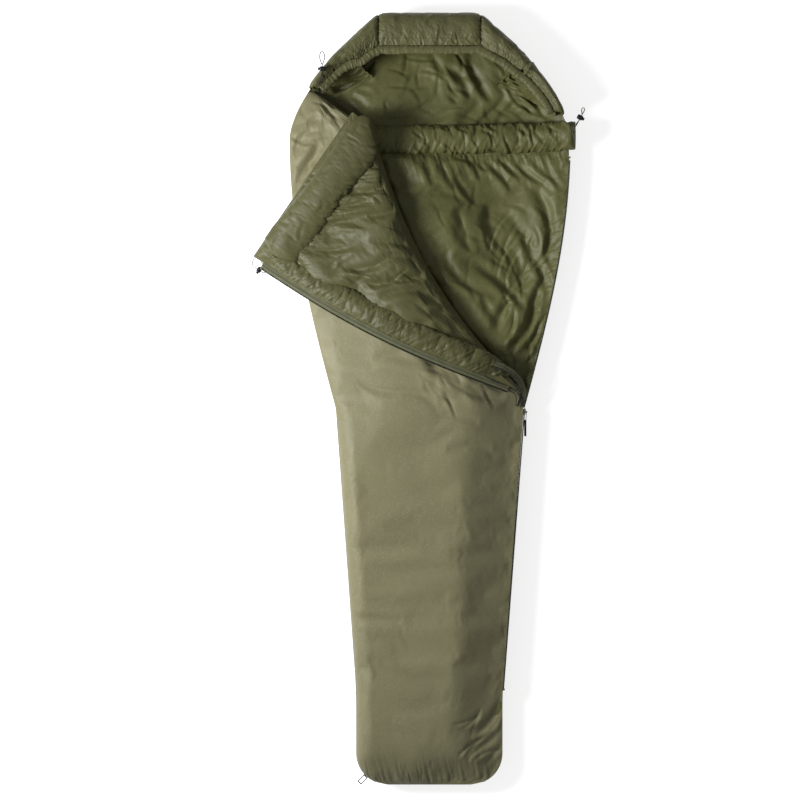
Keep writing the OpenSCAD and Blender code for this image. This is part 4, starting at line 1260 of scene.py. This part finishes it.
def creaseHood():
    for piece, seed in ((hoodLeft, 2), (hoodMiddle, 3), (hoodRight, 4)):
        x, y = planOf(piece)
        u, v = readShare(piece.data, "along"), readShare(piece.data, "across")
        seam = np.minimum(u, 1 - u) * 0.28
        height = puckers(v * 0.2, seam, 0.012, 0.012, 0.003, seed)
        height += puckers(u * 0.27, 1 - v, 0.009, 0.22, 0.004, seed + 5, 0.03)
        bent = scatterCreases(20, (-0.33, 0.9, 0.36, 1.1), lambda a, b: math.radians(80), 0.5, (0.02, 0.06),
                              (0.0015, 0.0035), (0.004, 0.007))
        side = creaseField(x, y, [(0.296, 0.960, 0.244, 0.906, 0.009, 0.005)], sharp=True)
        height += creaseField(x, y, bent, sharp=True) * ease(v / 0.1) * ease((1 - v) / 0.1)
        alongNormals(piece, height + side)


def creaseHoodLining():
    x, y = planOf(hoodLining)
    v = readShare(hoodLining.data, "across")
    raisePoints(hoodLining, creaseField(x, y, hoodFans, sharp=True) * ease(v / 0.05) * ease((1 - v) / 0.1))


def creaseTop():
    x, y = planOf(topShell)
    foot = y - footY
    height = puckers(x, foot - 0.02, 0.012, 0.03, 0.005, 12, 0.2) * ease(foot / 0.015)
    shoulder = scatterCreases(26, (-0.39, 0.55, -0.25, 0.86),
                              lambda a, b: math.atan2(0.76 - b, -0.25 - a), 0.3, (0.03, 0.09),
                              (0.002, 0.0045), (0.004, 0.007))
    zipSide = scatterCreases(24, (0.0, -0.02, 0.22, 0.15),
                             lambda a, b: math.radians(-35), 0.3,
                             (0.04, 0.10), (0.002, 0.004), (0.004, 0.007))
    corner = scatterCreases(10, (0.10, -1.02, 0.20, -0.90),
                            lambda a, b: math.radians(38), 0.2, (0.04, 0.10), (0.003, 0.005), (0.004, 0.007))
    height += creaseField(x, y, shoulder + zipSide + corner, sharp=True)
    raisePoints(topShell, height * ease(fromOutline(x, y) / 0.012))


# rows of stitches laid on the settled cloth
stitch = {"pitch": 0.0042, "length": 0.0028, "wide": 0.0008, "high": 0.0005}


def stitchRows(name, surface, rows):
    tree = BVHTree.FromObject(surface, bpy.context.evaluated_depsgraph_get())
    bm = bmesh.new()
    for path in rows:
        steps = path(np.linspace(0, 1, 400))
        run = np.concatenate([[0], np.cumsum(np.hypot(np.diff(steps[:, 0]), np.diff(steps[:, 1])))])
        spots = np.arange(stitch["pitch"], run[-1], stitch["pitch"])
        xs, ys = np.interp(spots, run, steps[:, 0]), np.interp(spots, run, steps[:, 1])
        for k in range(1, len(spots)):
            hit, normal, _, _ = tree.ray_cast(Vector((xs[k], ys[k], 0.4)), Vector((0, 0, -1)))
            if hit is None:
                continue
            way = Vector((xs[k] - xs[k - 1], ys[k] - ys[k - 1], 0)).normalized()
            up = normal if normal.z > 0 else -normal
            side = up.cross(way).normalized()
            way = side.cross(up)
            turned = Matrix((way, side, up)).transposed().to_4x4()
            sized = Matrix.Diagonal((stitch["length"], stitch["wide"], stitch["high"], 1))
            bmesh.ops.create_cube(bm, size=1, matrix=Matrix.Translation(hit) @ turned @ sized)
    mesh = bpy.data.meshes.new(name)
    bm.to_mesh(mesh)
    bm.free()
    return linkPiece(name, mesh)


def linePath(a, b):
    return lambda u: np.stack([mix(a[0], b[0], u), mix(a[1], b[1], u)], 1)


def bandPath(off, first, last):
    def path(u):
        x, y = planFlap(np.ones_like(u), mix(first, last, u))
        return np.stack([x - zipOut[0] * off, y - zipOut[1] * off], 1)

    return path


def hoodPath(share, first=0.01, last=0.99):
    def path(u):
        x, y, _ = hoodOuter(mix(first, last, u), share)
        return np.stack([x, y], 1)

    return path


creaseUnderside()
creaseFlap()
creaseTubes()
creaseHood()
creaseHoodLining()
creaseTop()
print("creases pressed in")

bandRows = [bandPath(0.012, 0.05, 0.93), bandPath(0.055, 0.05, 0.80)]
bandStitch = stitchRows("bandStitches", draughtTube, bandRows)
baffleY = crownY - baffle["drop"] - baffle["width"] / 2 + 0.006
baffleRow = linePath((-0.05, baffleY - 0.006), (0.40, baffleY - 0.002))
baffleStitch = stitchRows("baffleStitches", underLining, [baffleRow])
hoodStitch = [stitchRows("hoodStitches" + side, panel, [hoodPath(0.9, *span)])
              for side, panel, span in (("Left", hoodLeft, (0.02, 0.36)),
                                        ("Centre", hoodMiddle, (0.36, 0.64)),
                                        ("Right", hoodRight, (0.64, 0.98)))]
collarSeam = collar["width"] + 0.016
collarStitch = stitchRows("collarStitches", flapLining, [linePath(flapNeck + collarIn * (collarSeam + 0.02),
                                                                  flapCorner + collarIn * collarSeam)])
print("stitched")

# each piece gets its finish and its body, and takes the place of its nodes
for piece in (topShell, underShell, flapShell, foldShell):
    setMaterial(piece, "shellNylon")
for piece in (underLining, topLining, neckBaffle, hoodLining):
    setMaterial(piece, "liningNylon")
for piece in (flapLining, foldLining, flapCollar, draughtTube):
    setMaterial(piece, "collarNylon")
for piece in (hoodLeft, hoodMiddle, hoodRight, hoodCasing):
    setMaterial(piece, "hoodNylon")

setMaterial(pullLace, "braid")
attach(pullLace, next(joint["child"] for joint in frame["joints"] if joint["name"] == "pull_swing"))
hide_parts("zip_pull_lace")
for piece in (flapTape, twistUpper, twistLower):
    setMaterial(piece, "flapTapeWeave")
for piece in (flapCoil, sideCoil, underCoil, topCoil, twistCoilUpper, twistCoilLower):
    setMaterial(piece, "coilPlastic")
for piece in (bandStitch, baffleStitch, collarStitch, *hoodStitch):
    setMaterial(piece, "thread")
for piece in (sideCoil, underCoil, topCoil, baffleStitch, *hoodStitch):
    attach(piece, "bag")
for piece in (flapTape, flapCoil, bandStitch, collarStitch):
    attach(piece, "flap")
for piece in (twistUpper, twistLower, twistCoilUpper, twistCoilLower):
    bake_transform(piece)
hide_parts("zip_tape_flap")
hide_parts("zip_coil_flap")
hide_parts("zip_coil_side")
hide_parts("zip_coil_under")
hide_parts("zip_coil_top")

for piece in (topShell, underShell, underLining, topLining, neckBaffle, hoodLeft, hoodMiddle, hoodRight,
              hoodLining, hoodCasing):
    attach(piece, "bag")
for piece in (flapLining, flapShell, flapCollar, draughtTube):
    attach(piece, "flap")
for piece in (foldLining, foldShell):
    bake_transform(piece)

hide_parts("top_shell", "top_fill")
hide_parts("top_lining")
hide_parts("under_shell", *[name for name in frame["nodes"] if name.startswith("under_fill")])
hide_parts("under_lining")
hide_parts("flap_shell", "flap_fill")
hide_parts("flap_lining")
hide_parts("flap_collar")
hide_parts("draught_tube")
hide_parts("neck_baffle")
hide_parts("hood_shell_left")
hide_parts("hood_shell_centre", "hood_fill")
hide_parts("hood_shell_right")
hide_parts("hood_lining")
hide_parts(*[name for name in frame["nodes"] if name.startswith("hood_rim_casing")])


# flat size and area of each sheet
def clothArea(piece):
    mesh = piece.data
    areas = np.empty(len(mesh.polygons), np.float32)
    mesh.polygons.foreach_get("area", areas)
    return float(areas.sum())


def declareSheet(piece, flat):
    area = min(clothArea(piece), flat[0] * flat[1])
    print("sheet", piece.name, [round(side, 2) for side in flat], round(area, 3))


declareSheet(topShell, (0.86, 2.03))
declareSheet(topLining, (0.86, 2.03))
declareSheet(underShell, (0.84, 2.26))
declareSheet(underLining, (0.90, 2.32))
declareSheet(flapShell, (0.90, 0.62))
declareSheet(flapLining, (0.98, 0.70))
declareSheet(hoodLeft, (0.40, 0.22))
declareSheet(hoodMiddle, (0.34, 0.24))
declareSheet(hoodRight, (0.44, 0.22))
declareSheet(hoodLining, (1.10, 0.17))

nodeLooks = {"zip_tape": "zipTape", "zip_coil": "coilPlastic", "zip_slider": "sliderMetal",
             "zip_pull_tab": "sliderMetal", "zip_pull_lace": "braid", "zip_stops": "sliderMetal",
             "zip_top": "sliderMetal", "foot": "webbing"}
for name, node in frame["nodes"].items():
    look = next((nodeLooks[k] for k in nodeLooks if name.startswith(k)), None)
    look = look or ("springSteel" if "spring" in name else "lockPlastic" if "lock" in name else "braid")
    if "cord" in name:
        look = "braid"
    if not node.hide_render:
        node.data.materials.clear()
        node.data.materials.append(materials[look])

# white floor, one large lamp and an even fill
stage = {"floor": 12.0, "key": 64.0, "keySize": 1.0, "keyAt": (-1.75, 0.12, 1.42),
         "keyTo": (-0.05, 0.0, 0.05), "fill": 0.22, "lift": 0.72}


def makeStage():
    bm = bmesh.new()
    bmesh.ops.create_grid(bm, x_segments=1, y_segments=1, size=stage["floor"])
    mesh = bpy.data.meshes.new("floor")
    bm.to_mesh(mesh)
    bm.free()
    floor = bpy.data.objects.new("floor", mesh)
    floor.location.z = -0.0005
    scene.collection.objects.link(floor)
    made = bpy.data.materials.new("floorPaper")
    made.use_nodes = True
    tree = made.node_tree
    tree.nodes.clear()
    rays = tree.nodes.new("ShaderNodeLightPath")
    seen = addNode(tree, "ShaderNodeMath", {"operation": "MAXIMUM"})
    tree.links.new(rays.outputs["Is Camera Ray"], seen.inputs[0])
    tree.links.new(rays.outputs["Is Glossy Ray"], seen.inputs[1])
    also = addNode(tree, "ShaderNodeMath", {"operation": "MAXIMUM"})
    tree.links.new(seen.outputs[0], also.inputs[0])
    tree.links.new(rays.outputs["Is Transmission Ray"], also.inputs[1])
    paper = addNode(tree, "ShaderNodeBsdfDiffuse", Color=(0.93, 0.93, 0.93, 1))
    bounce = addNode(tree, "ShaderNodeBsdfDiffuse", Color=(0.32, 0.32, 0.32, 1))
    glow = addNode(tree, "ShaderNodeEmission", Color=(1, 1, 1, 1), Strength=stage["lift"])
    both = tree.nodes.new("ShaderNodeAddShader")
    tree.links.new(paper.outputs[0], both.inputs[0])
    tree.links.new(glow.outputs[0], both.inputs[1])
    pick = tree.nodes.new("ShaderNodeMixShader")
    tree.links.new(also.outputs[0], pick.inputs[0])
    tree.links.new(bounce.outputs[0], pick.inputs[1])
    tree.links.new(both.outputs[0], pick.inputs[2])
    out = tree.nodes.new("ShaderNodeOutputMaterial")
    tree.links.new(pick.outputs[0], out.inputs["Surface"])
    mesh.materials.append(made)
    key = bpy.data.lights.new("key", "AREA")
    key.energy = stage["key"]
    key.shape = "DISK"
    key.size = stage["keySize"]
    lamp = bpy.data.objects.new("key", key)
    lamp.location = stage["keyAt"]
    lamp.rotation_euler = (Vector(stage["keyAt"]) - Vector(stage["keyTo"])).to_track_quat("Z", "Y").to_euler()
    scene.collection.objects.link(lamp)
    world = bpy.data.worlds.new("world")
    world.use_nodes = True
    back = world.node_tree.nodes["Background"]
    back.inputs["Color"].default_value = (1, 1, 1, 1)
    sight = world.node_tree.nodes.new("ShaderNodeLightPath")
    strength = world.node_tree.nodes.new("ShaderNodeMapRange")
    strength.inputs["To Min"].default_value = stage["fill"]
    strength.inputs["To Max"].default_value = 1.0
    world.node_tree.links.new(sight.outputs["Is Camera Ray"], strength.inputs["Value"])
    world.node_tree.links.new(strength.outputs["Result"], back.inputs["Strength"])
    scene.world = world
    scene.view_settings.view_transform = "Standard"


makeStage()

# draw cords: each leaves its casing and loops back through its lock (millimetres)
millimetre = 0.001
cordRoutes = {
    "hood": [
        [-311.8, 879.3, 107], [-315, 876, 110], [-318, 875, 118], [-317, 883, 127], [-312, 896, 136],
        [-306, 909, 142], [-303, 922, 143.5], [-303, 933, 143.5], [-303, 944, 143.5],
        [-299, 953, 143.5], [-296, 963, 143], [-297, 973, 142.5], [-300, 980, 142], [-304, 982, 142],
        [-308, 979, 142], [-310, 971, 142], [-310, 962, 141.5], [-307, 952, 141], [-303, 944, 140.5],
        [-303, 933, 140.5], [-303, 922, 140.5], [-300, 911, 136], [-299, 898, 130], [-299, 886, 124],
        [-300, 875, 117], [-304, 871, 110], [-307, 874, 107],
    ],
    "neck": [
        [410.5, 780, 73], [414, 784, 77], [420, 789, 83], [426, 796.6, 85.5], [431, 806, 85.5],
        [436, 815.4, 85.5], [440, 822, 85], [443, 829, 84.5], [441, 834, 84], [436, 833, 84],
        [434, 826, 83.5], [436, 815.4, 82.5], [431, 806, 82.5], [426, 796.6, 82.5], [422, 789, 79],
        [417, 781, 75], [413, 775, 72], [410.5, 771, 70],
    ],
    "flap": [
        [-499.7, 407.5, 52], [-505, 404, 50], [-509, 397, 48], [-509, 389, 46], [-504, 383.6, 44.5],
        [-497, 379, 44], [-490, 374, 44], [-483, 369, 44], [-476, 366, 44.5], [-470, 368, 46],
        [-468, 375, 48], [-471, 383, 50], [-477, 391, 52], [-484.4, 396.5, 54],
    ],
}
cordWidth = 0.0026


def drawCord(name, body, node):
    route = [Vector(p) * millimetre for p in cordRoutes[name]]
    curve = bpy.data.curves.new(name + "DrawCord", "CURVE")
    curve.dimensions = "3D"
    spline = curve.splines.new("POLY")
    spline.points.add(len(route) - 1)
    for point, place in zip(spline.points, route):
        point.co = (*place, 1)
    curve.bevel_depth = cordWidth / 2
    curve.bevel_resolution = 3
    curve.use_fill_caps = True
    cord = bpy.data.objects.new(name + "DrawCord", curve)
    scene.collection.objects.link(cord)
    curve.materials.append(materials["braid"])
    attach(cord, body)
    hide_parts(node)


drawCord("hood", "bag", "hood_cord")
drawCord("neck", "bag", "neck_cord")
drawCord("flap", "flap", "flap_cord")
